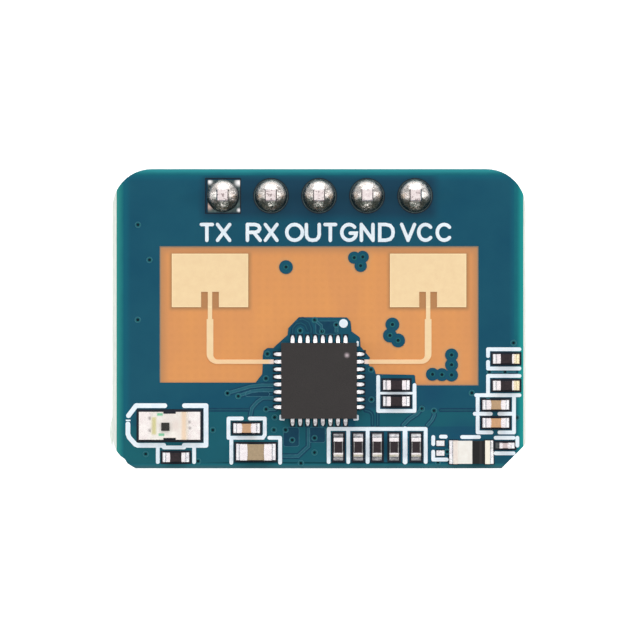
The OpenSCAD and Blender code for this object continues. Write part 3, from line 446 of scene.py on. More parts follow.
def pad_finish():
    """Pads round the pins: dark, with painted highlights at the corners of the square one."""
    finish = Finish("pin_pads", Metallic=0.9)
    colour = finish.clouds(finish.noise(4, 3, 0.6), tint(86, 102, 100), tint(52, 66, 70))
    # Painted highlights at three corners of the square pad, and a pinkish patch at the fourth
    for x, y, radius, spot in ((-0.7, 0.74, 0.22, tint(252, 250, 250)),
                               (0.82, 0.7, 0.3, tint(252, 250, 250)),
                               (0.84, -0.76, 0.16, tint(250, 246, 248)),
                               (-0.72, -0.56, 0.3, tint(206, 176, 164))):
        colour = finish.mix(finish.blob((PIN_XS[0] + x, y), radius), colour, spot)
    inside = finish.box((PIN_XS[0] - 0.8, -0.88), (PIN_XS[0] + 1.2, 0.83), 0.03)
    outside = finish.times(finish.flip(inside), finish.below(finish.x, PIN_XS[0] + 1.2))
    colour = finish.mix(outside, colour, tint(20, 52, 70))
    finish.colour(colour)
    return finish.wear(0.3, 0.45, 9, 2)


def pin_finish():
    finish = Finish("pin_metal", Metallic=1.0)
    shaft = finish.clouds(finish.noise(1.5, 3, 0.6, (2, 2, 0.6)), tint(240, 224, 196),
                          tint(226, 206, 176))
    tip = finish.clouds(finish.noise(5, 3, 0.6), tint(246, 236, 234), tint(214, 198, 198))
    specks = finish.times(finish.above(finish.noise(6.5, 2, 0.7), 0.6, 0.03), 0.7)
    tip = finish.mix(specks, tip, tint(120, 100, 100))
    # Painted shade at the corners of each pin's cut end, which makes it look rounded
    step = finish.less(finish.x, PIN_XS[0] - PIN_PITCH / 2)
    step = finish.math("FRACT", finish.math("DIVIDE", step, PIN_PITCH))
    across = finish.times(finish.less(step, 0.5), PIN_PITCH)
    spread = finish.math("ADD", finish.times(across, across), finish.times(finish.y, finish.y))
    tip = finish.tinge(tip, finish.above(spread, 0.15, 0.03), 0.8, tint(92, 82, 80))
    finish.colour(finish.mix(finish.above(finish.z, TIP_Z, 0.3), shaft, tip))
    finish.rough(finish.ramp(finish.noise(3, 3, 0.6, (5, 5, 0.5)), 0.24, 0.38))
    return finish.bump(finish.noise(6, 3, 0.6, (4, 4, 0.4)), 0.004)


def moulding_finish(name, light, dark, grain=18.0, mark=None):
    finish = Finish(name, Specular_IOR_Level=0.3)
    speckle = finish.noise(grain, 3, 0.7)
    cloud = finish.noise(0.9, 3, 0.6)
    base = finish.clouds(speckle, dark, light)
    base = finish.mix(finish.ramp(cloud, 0, 0.3), base, light)
    if mark:
        spot = finish.times(finish.blob(mark, 0.2), finish.above(finish.z, FACE_Z, 0.1))
        base = finish.tinge(base, spot, 0.8, tint(214, 196, 202))
    finish.colour(base)
    finish.rough(finish.ramp(speckle, 0.5, 0.7))
    return finish.bump(speckle, 0.012)


def ink_finish():
    finish = Finish("print_ink")
    cloud = finish.noise(2.4, 3, 0.6)
    finish.colour(finish.clouds(cloud, tint(228, 241, 252), tint(242, 250, 255)))
    finish.wear(0.5, 0.65, 14, 2)
    return finish.bump(finish.noise(10, 3, 0.6), 0.006)


def chip_part_finish(node, light, dark, end_cap, bow=0.012, rims=0.0, stain_and_shade=None):
    """Ceramic between two tinned ends, along the part's longer side. The ends bow inwards.

    With rims, pale ceramic shows beside the coat. A stain is a side, 1 or -1, and a colour
    for the outer part of that end.
    """
    low, high = (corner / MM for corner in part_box(node))
    size, centre = high - low, (low + high) / 2
    along_x = size.x > size.y
    finish = Finish(node + "_ceramic", Specular_IOR_Level=0.22)
    ways = [(finish.x, centre.x, size.x), (finish.y, centre.y, size.y)]
    (along, middle, length), (across, level, width) = ways if along_x else reversed(ways)
    reach = finish.apart(along, middle)
    aside = finish.math("DIVIDE", finish.less(across, level), width / 2)
    reach = finish.math("MULTIPLY_ADD", finish.times(aside, aside), -bow, reach)
    ceramic = finish.below(reach, length / 2 - end_cap - bow, 0.004)
    body = finish.clouds(finish.noise(9, 3, 0.65), dark, light)
    if rims:
        rim = finish.above(finish.math("ABSOLUTE", aside), 0.8, 0.06)
        rim = finish.times(rim, finish.ramp(finish.noise(2.2, 3, 0.7), 0.2, 1.1))
        body = finish.tinge(body, rim, rims, tint(190, 188, 186))
    tin = finish.clouds(finish.noise(6, 3, 0.6), tint(252, 246, 246), tint(232, 222, 226))
    if stain_and_shade:
        side, colour = stain_and_shade
        outer = finish.times(finish.less(along, middle), side)
        outer = finish.above(outer, length / 2 - end_cap * 0.6, 0.04)
        outer = finish.times(outer, finish.ramp(finish.noise(5, 3, 0.7), 0.4, 1.1))
        tin = finish.mix(outer, tin, colour)
    finish.colour(finish.mix(ceramic, tin, body))
    finish.metal(finish.times(finish.flip(ceramic), 0.7))
    finish.rough(finish.math("ADD", finish.ramp(finish.noise(8, 2), 0.22, 0.34),
                             finish.times(ceramic, 0.12)))
    return finish.bump(finish.noise(12, 3, 0.6), 0.006)


def antenna_ceramic_finish():
    """The chip antenna: ivory ceramic with a dark band beside the fed end."""
    low, high = (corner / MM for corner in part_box("chip_antenna"))
    finish = Finish("antenna_ceramic", Specular_IOR_Level=0.22)
    ivory = finish.clouds(finish.noise(3, 3, 0.6), tint(246, 243, 236), tint(238, 233, 224))
    band = finish.between(finish.x, low.x + 1.0, high.x - 0.23, 0.012)
    streak = finish.between(finish.x, high.x - 0.56, high.x - 0.43, 0.03)
    dark = finish.tinge(tint(26, 25, 25), streak, 0.6, tint(54, 51, 50))
    body = finish.mix(band, ivory, dark)
    cap = finish.flip(finish.between(finish.x, low.x + 0.24, high.x - 0.26, 0.01))
    cream = finish.clouds(finish.noise(7, 3, 0.6), tint(246, 238, 226), tint(232, 216, 208))
    left = finish.below(finish.x, low.x + 1.0, 0.02)
    cap_colour = finish.mix(left, tint(250, 243, 226), cream)
    finish.colour(finish.mix(cap, body, cap_colour))
    finish.wear(0.3, 0.42, 9, 2)
    return finish.bump(finish.noise(10, 3, 0.6), 0.005)


def sensor_base_finish():
    """White resin with the prints and leads that show through the clear body."""
    low, high = (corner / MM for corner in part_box("sensor_base"))
    middle = (low.y + high.y) / 2
    finish = Finish("sensor_board")
    colour = finish.clouds(finish.noise(3, 3, 0.6), tint(252, 247, 240), tint(244, 234, 228))
    yellow = finish.box((low.x + 0.64, middle - 0.46), (low.x + 0.87, middle + 0.46), 0.08)
    colour = finish.mix(yellow, colour, tint(222, 214, 154))
    amber = finish.between(finish.x, high.x - 0.95, high.x - 0.68, 0.1)
    colour = finish.mix(amber, colour, tint(246, 218, 190))
    for x, y in ((low.x + 1.07, middle + 0.6), (low.x + 1.15, middle - 0.47)):
        mint = finish.box((x - 0.15, y - 0.07), (x + 0.15, y + 0.07), 0.04)
        colour = finish.mix(mint, colour, tint(120, 206, 160))
    pink = finish.times(finish.blob((high.x - 1.25, middle), 0.5), 0.6)
    finish.colour(finish.mix(pink, colour, tint(236, 216, 206)))
    return finish.wear(0.3, 0.4, 8, 2)


def sensor_terminal_finish():
    """Pale gold-flashed ends, each with two small stains beside the clear body."""
    low, high = (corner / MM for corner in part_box("sensor_terminals"))
    middle = (low.y + high.y) / 2
    finish = Finish("sensor_terminal_metal", Metallic=0.55)
    colour = finish.clouds(finish.noise(3, 3, 0.6), tint(252, 246, 242), tint(238, 226, 224))
    for x, y in ((low.x + 0.58, middle + 0.4), (low.x + 0.58, middle - 0.24),
                 (high.x - 0.58, middle + 0.2), (high.x - 0.55, middle - 0.12)):
        colour = finish.tinge(colour, finish.blob((x, y), 0.16), 0.8, tint(150, 140, 138))
    finish.colour(colour)
    finish.wear(0.24, 0.38, 9, 3)
    return finish.bump(finish.noise(7, 3, 0.55), 0.005)


def resin_finish():
    """Clear epoxy: nearly invisible from above, milky at its upright sides."""
    finish = Finish("sensor_resin", Roughness=0.06)
    finish.colour(finish.clouds(finish.noise(2, 2), tint(252, 252, 240), tint(244, 246, 236)))
    true_normal = finish.nodes.new("ShaderNodeNewGeometry").outputs["True Normal"]
    upright = finish.between(finish.split(true_normal)[2], -0.3, 0.3, 0.1)
    finish.feed(finish.shader.inputs["Alpha"], finish.math("MULTIPLY_ADD", upright, 0.18, 0.02))
    return finish


def silicon_finish():
    finish = Finish("silicon", Specular_IOR_Level=0.1)
    finish.colour(finish.clouds(finish.noise(8, 3), tint(8, 6, 6), tint(22, 17, 16)))
    return finish.wear(0.2, 0.3, 20, 2)


def dress(node, finish):
    """Gives a CAD node its finish."""
    for slot in NODES[node].material_slots:
        slot.material = finish.material


def soften(node, width):
    """Rounds the sharp edges of a CAD node by a small bevel."""
    piece = NODES[node]
    weld = piece.modifiers.new("weld", "WELD")
    weld.merge_threshold = SAME_PLACE * MM
    bevel = piece.modifiers.new("bevel", "BEVEL")
    bevel.width = width * MM
    bevel.segments = 3
    bevel.limit_method = "ANGLE"
    bevel.angle_limit = math.radians(40)
    bevel.use_clamp_overlap = True


def draw_in(node, depth):
    """Sinks a clear node's faces a little, off the faces of what it touches."""
    piece = NODES[node]
    weld = piece.modifiers.new("weld", "WELD")
    weld.merge_threshold = SAME_PLACE * MM
    sink = piece.modifiers.new("sink", "DISPLACE")
    sink.strength = -depth * MM
    sink.mid_level = 0.0


MASK = mask_finish()
POUR = pour_finish()
# Mask over the traces, paler than the pour: painted highlight on their rise
RELIEF = plain_mask_finish("solder_mask_on_traces", (2.0, 2), tint(34, 92, 108),
                           tint(40, 98, 112), 0.28, 0.38)
VIA = plain_mask_finish("covered_via", (9, 2), tint(4, 26, 38), tint(9, 40, 48), 0.35, 0.5, 12)
# Greener mask on the rims of the covered vias
COLLAR = plain_mask_finish("solder_mask_collar", (4, 2), tint(26, 94, 104), tint(38, 110, 112),
                           0.3, 0.4)
# Mask that dips between the copper of a trace and of the pour: darker and bluer
GAP = plain_mask_finish("solder_mask_in_gaps", (3, 3), tint(16, 62, 88), tint(24, 72, 92),
                        0.3, 0.4)
# Mask along the edges of copper, paler: a painted highlight on the edges' slopes
EDGE = plain_mask_finish("solder_mask_on_edges", (5, 3), tint(46, 104, 122), tint(70, 122, 138),
                         0.26, 0.36)
INK = ink_finish()
TIN = tin_finish("tinned_pads", toes=True)
SOLDER = tin_finish("solder", depth=0.012, toes=True)
# The mould compound's mark is the light dimple at the radar chip's first lead
DARK = moulding_finish("mould_compound", tint(56, 52, 51), tint(42, 39, 39),
                       mark=(CHIP_HIGH.x - 0.53, CHIP_HIGH.y - 0.65))
RESISTOR_COAT = (tint(54, 42, 46), tint(36, 30, 34))
RIGHT_COLUMN = 9 * MM  # parts beyond this x stand at the right edge
RESISTORS = ["resistor_%d" % i for i in range(1, 11)]
BACK_RESISTORS = ["back_resistor_1", "back_resistor_2"]
CHIP_BODIES = ["radar_chip_body", "microcontroller_body", "regulator_body"]

dress("board_core", laminate_finish())
for finish, names in (
        (MASK, ["solder_mask_front", "solder_mask_back"]),
        (gold_finish(), ["transmit_antenna", "receive_antenna"]),
        (TIN, ["radar_chip_leads", "front_pads", "back_pads", "microcontroller_leads",
               "regulator_leads"]),
        (SOLDER, ["front_solder", "back_solder"]),
        (pin_finish(), PINS),
        (DARK, CHIP_BODIES)):
    for name in names:
        dress(name, finish)
dress("plated_holes", pad_finish())
for i in range(1, 6):
    dress("solder_joint_%d" % i, joint_finish(i))
dress("header_strip", moulding_finish("strip_plastic", tint(30, 30, 32), tint(22, 22, 24), 9.0))
dress("sensor_base", sensor_base_finish())
dress("sensor_terminals", sensor_terminal_finish())
dress("sensor_lens", resin_finish())
dress("sensor_die", silicon_finish())
dress("chip_antenna", antenna_ceramic_finish())
dress("crystal_base",
      moulding_finish("crystal_ceramic", tint(170, 158, 140), tint(150, 138, 122), 12.0))
dress("crystal_lid", tin_finish("lid_metal", tint(224, 216, 200), tint(208, 200, 184), 0.003))
dress("front_print", INK)

# Upright resistors show pale rims and a grey low end, and the two at the right edge a cream end
for name in RESISTORS:
    low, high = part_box(name)
    rims, stain_and_shade = 0.0, None
    if high.y - low.y > high.x - low.x:
        rims, stain_and_shade = 0.9, (-1, tint(176, 172, 150))
    elif low.x > RIGHT_COLUMN:
        stain_and_shade = (1, tint(240, 222, 176))
    dress(name, chip_part_finish(name, *RESISTOR_COAT, end_cap=0.19, rims=rims, stain_and_shade=stain_and_shade))
for name in BACK_RESISTORS:
    dress(name, chip_part_finish(name, *RESISTOR_COAT, end_cap=0.22))

# Capacitors: the lighter of their two colours and the length of an end cap
CAPACITORS = {
    "capacitor_1": (tint(210, 166, 128), 0.245),
    "capacitor_2": (tint(180, 157, 126), 0.38),
    "capacitor_3": (tint(196, 162, 126), 0.22),
    "capacitor_4": (tint(216, 166, 124), 0.22),
    "capacitor_5": (tint(216, 196, 196), 0.15),
    "back_capacitor_1": (tint(178, 158, 128), 0.42),
    "back_capacitor_2": (tint(178, 158, 128), 0.42),
    "back_capacitor_3": (tint(200, 164, 128), 0.22),
    "back_capacitor_4": (tint(200, 164, 128), 0.22),
}
DARKER = 0.82  # the other colour, as a share of the lighter
for name, (light, end_cap) in CAPACITORS.items():
    dark = tuple(value * DARKER for value in light[:3]) + (1,)
    dress(name, chip_part_finish(name, light, dark, end_cap, bow=0.03))

# Widths of the bevels that round the parts
for width, names in ((0.05, [*CAPACITORS, "chip_antenna", "crystal_lid", "header_strip"]),
                     (0.03, [*RESISTORS, *BACK_RESISTORS, *CHIP_BODIES, "crystal_base"])):
    for name in names:
        soften(name, width)
draw_in("sensor_lens", 0.003)


# Fine relief: strokes along a path, with round ends of END_STEPS stations and chamfered edges.
# The chamfer is a share of half the stroke's width.
END_STEPS = 4
CHAMFER = 0.3
CUP_SIDES = 14


def add_piece(name, mesh_data, finish):
    mesh = bpy.data.meshes.new(name)
    mesh_data.to_mesh(mesh)
    mesh_data.free()
    mesh.materials.append(finish.material)
    piece = bpy.data.objects.new(name, mesh)
    bpy.context.scene.collection.objects.link(piece)
    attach(piece, "root")
    return piece


def offsets(points, closed):
    """Mitred unit side vector at each point of a path."""
    sides = []
    last = len(points) - 1
    for i, point in enumerate(points):
        before = points[i - 1] if (i > 0 or closed) else point
        after = points[(i + 1) % len(points)] if (i < last or closed) else point
        first = (point - before).normalized() if point != before else (after - point).normalized()
        second = (after - point).normalized() if after != point else first
        middle = first + second
        middle = middle.normalized() if middle.length > 1e-6 else second
        side = Vector((-middle.y, middle.x))
        lean = max(0.5, side.dot(Vector((-second.y, second.x))))  # at most twice the width
        sides.append(side / lean)
    return sides


def ribbon(mesh_data, points, width, low, high, closed=False):
    """A raised stroke along a path, with round ends and chamfered edges, in millimetres."""
    points = [Vector(point) for point in points]
    if not closed:
        points = round_end(points, width, False) + points[1:-1] + round_end(points, width, True)
        end = [reach / 2 for reach in end_widths(width)]
        half = end + [width / 2] * (len(points) - 2 * END_STEPS) + end[::-1]
    else:
        half = [width / 2] * len(points)
    sides = offsets(points, closed)
    cut = min(CHAMFER * width / 2, high - low)
    rows = []
    for point, side, reach in zip(points, sides, half):
        inner = max(reach - cut, reach * 0.4)
        rows.append([mesh_data.verts.new(Vector((*(point + side * offset), z)) * MM)
                     for offset, z in ((-reach, low), (-inner, high), (inner, high), (reach, low))])
    pairs = list(zip(rows, rows[1:])) + ([(rows[-1], rows[0])] if closed else [])
    for first, second in pairs:
        for k in range(3):
            mesh_data.faces.new((first[k], second[k], second[k + 1], first[k + 1]))
    if not closed:
        mesh_data.faces.new(rows[0])
        mesh_data.faces.new(rows[-1][::-1])


def end_widths(width):
    """Widths of the stations that round off the start of a stroke."""
    turns = [math.pi / 2 * (k + 0.6) / (END_STEPS - 0.4) for k in range(END_STEPS - 1)]
    return [width * math.sin(turn) for turn in turns] + [width]


def round_end(points, width, at_end):
    """Stations that round off one end of a stroke, running outwards from its last point."""
    tip, towards = (points[-1], points[-2]) if at_end else (points[0], points[1])
    out = (tip - towards).normalized()
    stations = [tip + out * math.sqrt(max(0, (width / 2) ** 2 - (reach / 2) ** 2))
                for reach in end_widths(width)]
    return stations[::-1] if at_end else stations


def arc(centre, radius, start, end, steps):
    """Points on an arc between two angles in degrees."""
    angles = [math.radians(start + (end - start) * k / steps) for k in range(steps + 1)]
    return [(centre[0] + radius * math.cos(a), centre[1] + radius * math.sin(a)) for a in angles]


def ring(centre, radius, steps=20):
    return arc(centre, radius, 0, 360 - 360 / steps, steps - 1)


def dimple(mesh_data, centre, radius, low, high):
    """A shallow cup: a rim at the high level that falls inwards, halfway to the low level."""
    levels = ((radius, MASK_Z), (radius, high), (radius * 0.6, (low + high) / 2))
    rows = [[mesh_data.verts.new(Vector((x, y, z)) * MM) for x, y in ring(centre, reach, CUP_SIDES)]
            for reach, z in levels]
    for first, second in zip(rows, rows[1:]):
        for k in range(CUP_SIDES):
            n = (k + 1) % CUP_SIDES
            mesh_data.faces.new((first[k], first[n], second[n], second[k]))
    mesh_data.faces.new(rows[-1])


def pour_sheet():
    """Copper pour: the mask stands a little higher and looks bluer where copper lies under it."""
    source = bmesh.new()
    source.from_mesh(NODES["solder_mask_front"].data)
    bmesh.ops.remove_doubles(source, verts=source.verts, dist=SAME_PLACE * MM)
    top = (MASK_Z - 0.001) * MM
    others = [face for face in source.faces
              if face.normal.z < 0.9 or face.calc_center_median().z < top]
    bmesh.ops.delete(source, geom=others, context="FACES")
    # The pour stops this far from the board's edges
    for corner, out, margin in ((BOARD_LOW, (-1, 0, 0), 0.75), (BOARD_HIGH, (1, 0, 0), 0.62),
                                (BOARD_HIGH, (0, 1, 0), 0.33), (BOARD_LOW, (0, -1, 0), 0.26)):
        bmesh.ops.bisect_plane(source, geom=source.verts[:] + source.edges[:] + source.faces[:],
                               plane_co=(corner - Vector(out) * margin) * MM, plane_no=out,
                               clear_outer=True)
    bmesh.ops.inset_region(source, faces=source.faces[:], thickness=0.05 * MM, depth=0,
                           use_even_offset=True, use_boundary=True)
    return source


sheet = add_piece("copper_pour_relief", pour_sheet(), POUR)
sheet.location.z += POUR_STEP * MM
bpy.context.view_layer.update()

# Traces under the mask: width and points
TRACES = [
    (0.14, [(-2.44, -10.02), (-3.02, -10.02), (-3.65, -10.09), (-4.18, -10.25), (-4.82, -10.43)]),
    (0.14, [(-2.44, -10.28), (-3.02, -10.28), (-3.55, -10.34), (-4.27, -10.58)]),
    (0.14, [(-2.44, -10.69), (-2.97, -10.69), (-3.28, -10.91), (-3.55, -11.22), (-3.64, -11.69)]),
    (0.04, [(-5.88, -11.32), (-3.71, -11.32)]),
    (0.14, [(-0.56, -12.3), (-0.56, -13.25), (-1.11, -13.77), (-1.93, -13.77)]),
    (0.05, [(2.45, -11.36), (2.65, -11.4), (2.78, -11.5), (2.83, -11.66), (2.83, -12.12)]),
    (0.05, [(3.1, -11.5), (3.1, -12.12)]),
    (0.14, [(5.45, -11.21), (5.18, -11.54), (4.76, -11.81), (4.44, -12.15)]),
    (0.12, [(6.07, -11.39), (6.09, -11.62), (5.98, -11.86), (5.72, -12.16)]),
    (0.05, [(6.43, -11.33), (8.2, -11.33)]),
    (0.1, [(9.15, -9.31), (9.7, -9.31)]),
    (0.1, [(9.98, -9.31), (10.4, -9.31)]),
    (0.14, [(0.91, -6.83), (0.91, -7.2)]),
    (0.12, [(-0.23, -6.57), (0.12, -6.86), (0.12, -7.2)]),
    (0.12, [(0.16, -11.2), (0.16, -12.25)]),
    (0.12, [(-2.3, -11.3), (-2.75, -11.3)]),
    (0.05, [(-1.02, -6.54), (-0.86, -6.52), (-0.55, -6.68), (-0.42, -7.0), (-0.42, -7.25)]),
    (0.05, [(-1.4, -7.25), (-1.38, -6.98), (-1.2, -6.77), (-0.95, -6.72), (-0.72, -6.85),
            (-0.62, -7.1)]),
]
GAP_WIDTH = 0.09  # the dip on either side of a trace
EDGE_WIDTH = 0.035  # the pale line on an edge
FINE = 0.1  # a narrower stroke is a lone edge of copper, with no pale lines of its own


def plate(mesh_data, low, high, top):
    """A flat patch with cut corners, from the mask's face up to a level, in millimetres."""
    (x0, y0), (x1, y1) = low, high
    cut = 0.08
    outline = [(x0 + cut, y0), (x1 - cut, y0), (x1, y0 + cut), (x1, y1 - cut),
               (x1 - cut, y1), (x0 + cut, y1), (x0, y1 - cut), (x0, y0 + cut)]
    rows = [[mesh_data.verts.new(Vector((x, y, z)) * MM) for x, y in outline]
            for z in (MASK_Z, top)]
    for k in range(len(outline)):
        n = (k + 1) % len(outline)
        mesh_data.faces.new((rows[0][k], rows[0][n], rows[1][n], rows[1][k]))
    mesh_data.faces.new(rows[1])
    return outline


# Clearings round a few vias, where the copper stops
CLEARINGS = [((-1.89, -13.26), (-1.06, -12.24)), ((-0.53, -13.05), (0.33, -12.24)),
             ((-0.17, -7.32), (1.02, -6.62)), ((-3.9, -10.62), (-2.62, -10.37))]
traces, gaps, edges = bmesh.new(), bmesh.new(), bmesh.new()
for k, (low, high) in enumerate(CLEARINGS):
    outline = plate(gaps, low, high, MASK_Z + POUR_STEP + LAYER * (5 + k))
    ribbon(edges, outline, EDGE_WIDTH, MASK_Z, MASK_Z + TRACE_STEP + LAYER * k, closed=True)


def lay_traces(routes, gaps, traces, edges):
    """Traces with the dips beside them and the pale lines along their edges, on the front."""
    for k, (width, points) in enumerate(routes):
        ribbon(gaps, points, width + 2 * GAP_WIDTH, MASK_Z, MASK_Z + POUR_STEP + LAYER * (10 + k))
        ribbon(traces, points, width, MASK_Z, MASK_Z + TRACE_STEP - LAYER * k)
        if width < FINE:
            continue
        path = [Vector(point) for point in points]
        sides = offsets(path, False)
        for n, side in enumerate((-1, 1)):
            line = [point + across * side * width / 2 for point, across in zip(path, sides)]
            ribbon(edges, line, EDGE_WIDTH, MASK_Z, MASK_Z + TRACE_STEP + LAYER * (10 + 2 * k + n))


def add_to_back(name, mesh_data, finish):
    """Turns relief that was built on the front face over to the board's back."""
    for vert in mesh_data.verts:
        vert.co.z = (MASK_Z + BACK_Z) * MM - vert.co.z
    bmesh.ops.reverse_faces(mesh_data, faces=mesh_data.faces[:])
    add_piece(name, mesh_data, finish)


lay_traces(TRACES, gaps, traces, edges)
add_piece("mask_in_gaps", gaps, GAP)
add_piece("mask_over_traces", traces, RELIEF)
add_piece("mask_on_edges", edges, EDGE)

# The same on the back, which the photo doesn't show: from the small chip to the pins, the crystal
# and the resistors, and from the regulator to its capacitors
BACK_TRACES = [
    (0.12, [(-1.4, -6.8), (-0.7, -6.8), (0.1, -6.2), (0.7, -6.2)]),
    (0.12, [(-1.4, -7.2), (-0.7, -7.2), (0.1, -7.8), (0.7, -7.8)]),
    (0.2, [(1.3, -5.8), (1.3, -4.5), (1.75, -4.5)]),
    (0.2, [(1.3, -8.2), (1.3, -9.6), (1.75, -9.6)]),
    (0.14, [(-5.0, -4.7), (-5.0, -1.4)]),
    (0.14, [(-4.6, -4.7), (-4.6, -3.7), (-2.54, -2.2), (-2.54, -1.4)]),
    (0.14, [(-4.2, -4.7), (-4.2, -4.1), (-3.4, -3.5), (-1.1, -3.5), (0, -2.6), (0, -1.4)]),
    (0.3, [(7.2, -5.1), (7.2, -3.1), (5.9, -1.9), (5.08, -1.4)]),
    (0.3, [(6.3, -7.3), (6.3, -9.0)]),
    (0.14, [(-1.4, -7.6), (-1.0, -7.6), (-0.24, -8.4), (-0.24, -12.7)]),
    (0.14, [(-1.4, -8.0), (-1.1, -8.0), (-0.8, -8.4), (-0.8, -10.6), (-2.3, -11.7)]),
    (0.14, [(-2.2, -9.3), (-2.2, -10.1), (-2.72, -10.8), (-2.72, -11.2)]),
    (0.14, [(-5.9, -6.2), (-7.0, -6.2), (-7.5, -6.6)]),
]
back_gaps, back_traces, back_edges = bmesh.new(), bmesh.new(), bmesh.new()
lay_traces(BACK_TRACES, back_gaps, back_traces, back_edges)
add_to_back("back_mask_in_gaps", back_gaps, GAP)
add_to_back("back_mask_over_traces", back_traces, RELIEF)
add_to_back("back_mask_on_edges", back_edges, EDGE)

# Small vias under the mask on both faces: a dimple with a raised rim, on the front with a pale halo
# of painted highlight
VIAS = [(-9.58, -1.53), (-8.97, -3.39), (-9.59, -6.56), (-4.84, -10.44), (-4.27, -10.6),
        (-2.35, -11.72), (-1.77, -12.38), (-2.39, -12.38), (-1.42, -12.92), (-0.24, -12.81),
        (-0.24, -13.58), (-0.96, -14.14), (-5.62, -12.39), (-9.17, -13.66), (-6.4, -14.04),
        (-2.73, -8.36), (-2.81, -9.66), (-2.8, -11.29), (-1, -7.13), (-0.23, -6.57), (0.16, -7.17),
        (0.91, -6.83), (2.75, -9.19), (2.77, -10.78), (10.29, -7.78), (5.44, -11.26),
        (6.08, -11.37), (10.45, -11.73), (8.08, -10.43), (9.01, -9.31), (9.84, -9.31),
        (8.94, -10.58), (6.29, -14.09), (6.78, -13.54)]
VIA_RADIUS = 0.072
VIA_LOW, VIA_HIGH = MASK_Z + POUR_STEP, MASK_Z + TRACE_STEP + 0.006
RIM_Z, HALO_Z = MASK_Z + TRACE_STEP + 0.005, MASK_Z + TRACE_STEP + 0.0055
holes, rims, halos, back_holes, back_rims = (bmesh.new() for _ in range(5))
for place in VIAS + [(x, y) for x, y, _ in DOTS]:
    dimple(holes, place, VIA_RADIUS, VIA_LOW, VIA_HIGH)
    dimple(back_holes, place, VIA_RADIUS, VIA_LOW, VIA_HIGH)
    ribbon(rims, ring(place, 0.115), 0.06, MASK_Z, RIM_Z, closed=True)
    ribbon(back_rims, ring(place, 0.12), 0.07, MASK_Z, RIM_Z, closed=True)
for place in VIAS:
    ribbon(halos, ring(place, 0.15), 0.03, MASK_Z, HALO_Z, closed=True)
add_piece("via_halos", halos, EDGE)
add_to_back("back_via_dimples", back_holes, VIA)
add_to_back("back_via_rims", back_rims, COLLAR)
add_piece("via_dimples", holes, VIA)
add_piece("via_rims", rims, COLLAR)

# Names of the pins' functions, the usual ones for such pins: glyph, left edge and width of its
# strokes' middle lines
LETTERS = [("T", -6.22, 0.57), ("X", -5.37, 0.64), ("R", -3.79, 0.67), ("X", -2.84, 0.61),
           ("O", -1.71, 0.83), ("U", -0.67, 0.68), ("T", 0.32, 0.55), ("G", 1.2, 0.78),
           ("N", 2.24, 0.61), ("D", 3.21, 0.71), ("V", 4.37, 0.68), ("C", 5.27, 0.72),
           ("C", 6.25, 0.74)]
LETTER_LOW, LETTER_HEIGHT, LETTER_STROKE = -2.35, 0.83, 0.2
HALF = (0.5, 0.5)
GLYPHS = {
    "T": [[(0, 1), (1, 1)], [(0.5, 1), (0.5, 0)]],
    "X": [[(0, 1), (1, 0)], [(1, 1), (0, 0)]],
    "R": [[(0, 0), (0, 1)],
          [(0, 1), (0.6, 1), (0.85, 0.94), (0.96, 0.8), (0.96, 0.7), (0.85, 0.56), (0.6, 0.5),
           (0, 0.5)],
          [(0.5, 0.5), (1, 0)]],
    "O": [arc(HALF, 0.5, 0, 345, 23)],
    "U": [[(0, 1), (0, 0.35), (0.07, 0.16), (0.24, 0.03), (0.5, 0), (0.76, 0.03), (0.93, 0.16),
           (1, 0.35), (1, 1)]],
    "G": [arc(HALF, 0.5, 42, 335, 18) + [(0.98, 0.45), (0.58, 0.45)]],
    "N": [[(0, 0), (0, 1)], [(0, 1), (1, 0)], [(1, 0), (1, 1)]],
    "D": [[(0, 0), (0, 1), (0.45, 1), (0.78, 0.93), (0.96, 0.73), (1, 0.5), (0.96, 0.27),
           (0.78, 0.07), (0.45, 0)]],
    "V": [[(0, 1), (0.5, 0)], [(0.5, 0), (1, 1)]],
    "C": [arc(HALF, 0.5, 42, 318, 18)],
}
CLOSED = "OD"
labels = bmesh.new()
for glyph, left, width in LETTERS:
    for k, stroke in enumerate(GLYPHS[glyph]):
        points = [(left + x * width, LETTER_LOW + y * LETTER_HEIGHT) for x, y in stroke]
        ribbon(labels, points, LETTER_STROKE, MASK_Z, PRINT_Z - 0.001 * k, closed=glyph in CLOSED)
add_piece("pin_labels", labels, INK)

# Light, floor and camera
MASTER = bpy.context.scene
MASTER.view_settings.view_transform = "Standard"


def aim(item, target):
    direction = Vector(target) - item.location
    item.rotation_euler = direction.to_track_quat("-Z", "Y").to_euler()


def softbox(name, place, size, share):
    """An area lamp at a place in millimetres that lights the board to the given share of white."""
    place, target = Vector(place) * MM, MIDDLE * MM
    lamp = bpy.data.lights.new(name, "AREA")
    lamp.shape = "RECTANGLE"
    lamp.size, lamp.size_y = size[0] * MM, size[1] * MM
    distance = (place - target).length
    lamp.energy = math.pi ** 2 * share * distance ** 2
    item = bpy.data.objects.new(name, lamp)
    MASTER.collection.objects.link(item)
    item.location = place
    aim(item, target)


# Places and sizes in millimetres, and shares of white
for name, place, size, share in (("overhead_box", (0, 60, 330), (420, 420), 0.4),
                                 ("north_box", (0, 240, 130), (300, 140), 0.46),
                                 ("south_box", (0, -240, 150), (240, 80), 0.14),
                                 ("west_box", (-220, 0, 150), (100, 200), 0.18),
                                 ("east_box", (220, 20, 150), (100, 200), 0.22)):
    softbox(name, place, size, share)

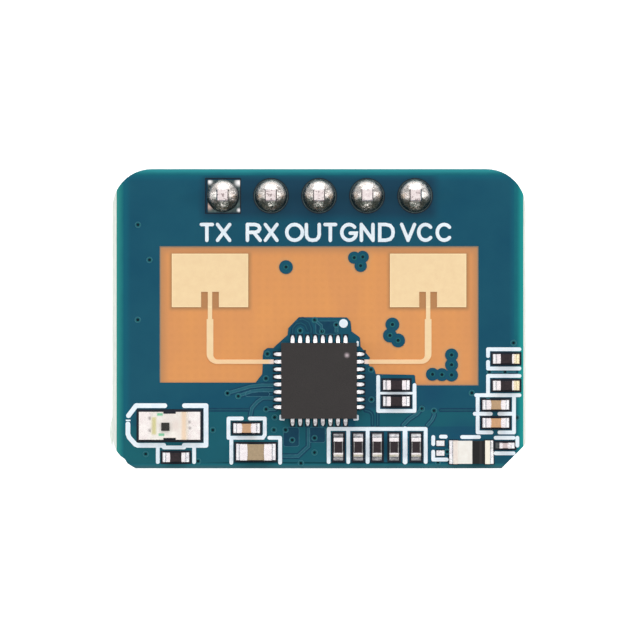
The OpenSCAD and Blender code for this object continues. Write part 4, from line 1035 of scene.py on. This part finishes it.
# The sky is bright to the north and dim to the south, and white where the camera sees it
world = bpy.data.worlds.new("studio")
MASTER.world = world
world.use_nodes = True
sky = Tree(world.node_tree)
direction = sky.split(sky.nodes.new("ShaderNodeTexCoord").outputs["Generated"])
level = sky.math("MULTIPLY_ADD", direction["Y"], 0.2, 0.32)
camera_sees = sky.nodes.new("ShaderNodeLightPath").outputs["Is Camera Ray"]
background = sky.nodes["Background"]
sky.feed(background.inputs["Strength"], sky.math("MAXIMUM", level, camera_sees))
background.inputs["Color"].default_value = (1, 1, 1, 1)

floor_finish = Finish("pale_floor", Roughness=0.8)
floor_finish.colour(floor_finish.mix(floor_finish.noise(0.02, 2), tint(246, 246, 246),
                                     tint(250, 250, 250)))
# It glows a little for the camera and in reflections, and not for the part
path = floor_finish.nodes.new("ShaderNodeLightPath")
shown = floor_finish.math("MAXIMUM", path.outputs["Is Camera Ray"], path.outputs["Is Glossy Ray"])
shown = floor_finish.math("MAXIMUM", shown, path.outputs["Is Transmission Ray"])
floor_finish.shader.inputs["Emission Color"].default_value = (1, 1, 1, 1)
floor_finish.feed(floor_finish.shader.inputs["Emission Strength"], floor_finish.times(shown, 0.6))
FLOOR_REACH = 3  # metres from the middle to a side
ground = bmesh.new()
bmesh.ops.create_grid(ground, x_segments=1, y_segments=1, size=FLOOR_REACH)
mesh = bpy.data.meshes.new("floor")
ground.to_mesh(mesh)
ground.free()
mesh.materials.append(floor_finish.material)
floor = bpy.data.objects.new("floor", mesh)
floor.location.z = CAD_BOX[0].z
MASTER.collection.objects.link(floor)

# The camera looks straight down, with +Y up. All in millimetres.
VIEW_WIDTH = 33.86
VIEW_DISTANCE = 273.7
VIEW_CENTRE = (0.05, MIDDLE.y - 0.069)
SENSOR_WIDTH = 36
camera_data = bpy.data.cameras.new("camera")
camera_data.sensor_width = SENSOR_WIDTH
camera_data.lens = SENSOR_WIDTH * VIEW_DISTANCE / VIEW_WIDTH
camera_data.clip_start = 0.01
camera_data.clip_end = 10
camera = bpy.data.objects.new("camera", camera_data)
camera.location = Vector((*VIEW_CENTRE, FACE_Z + VIEW_DISTANCE)) * MM
MASTER.collection.objects.link(camera)
MASTER.camera = camera
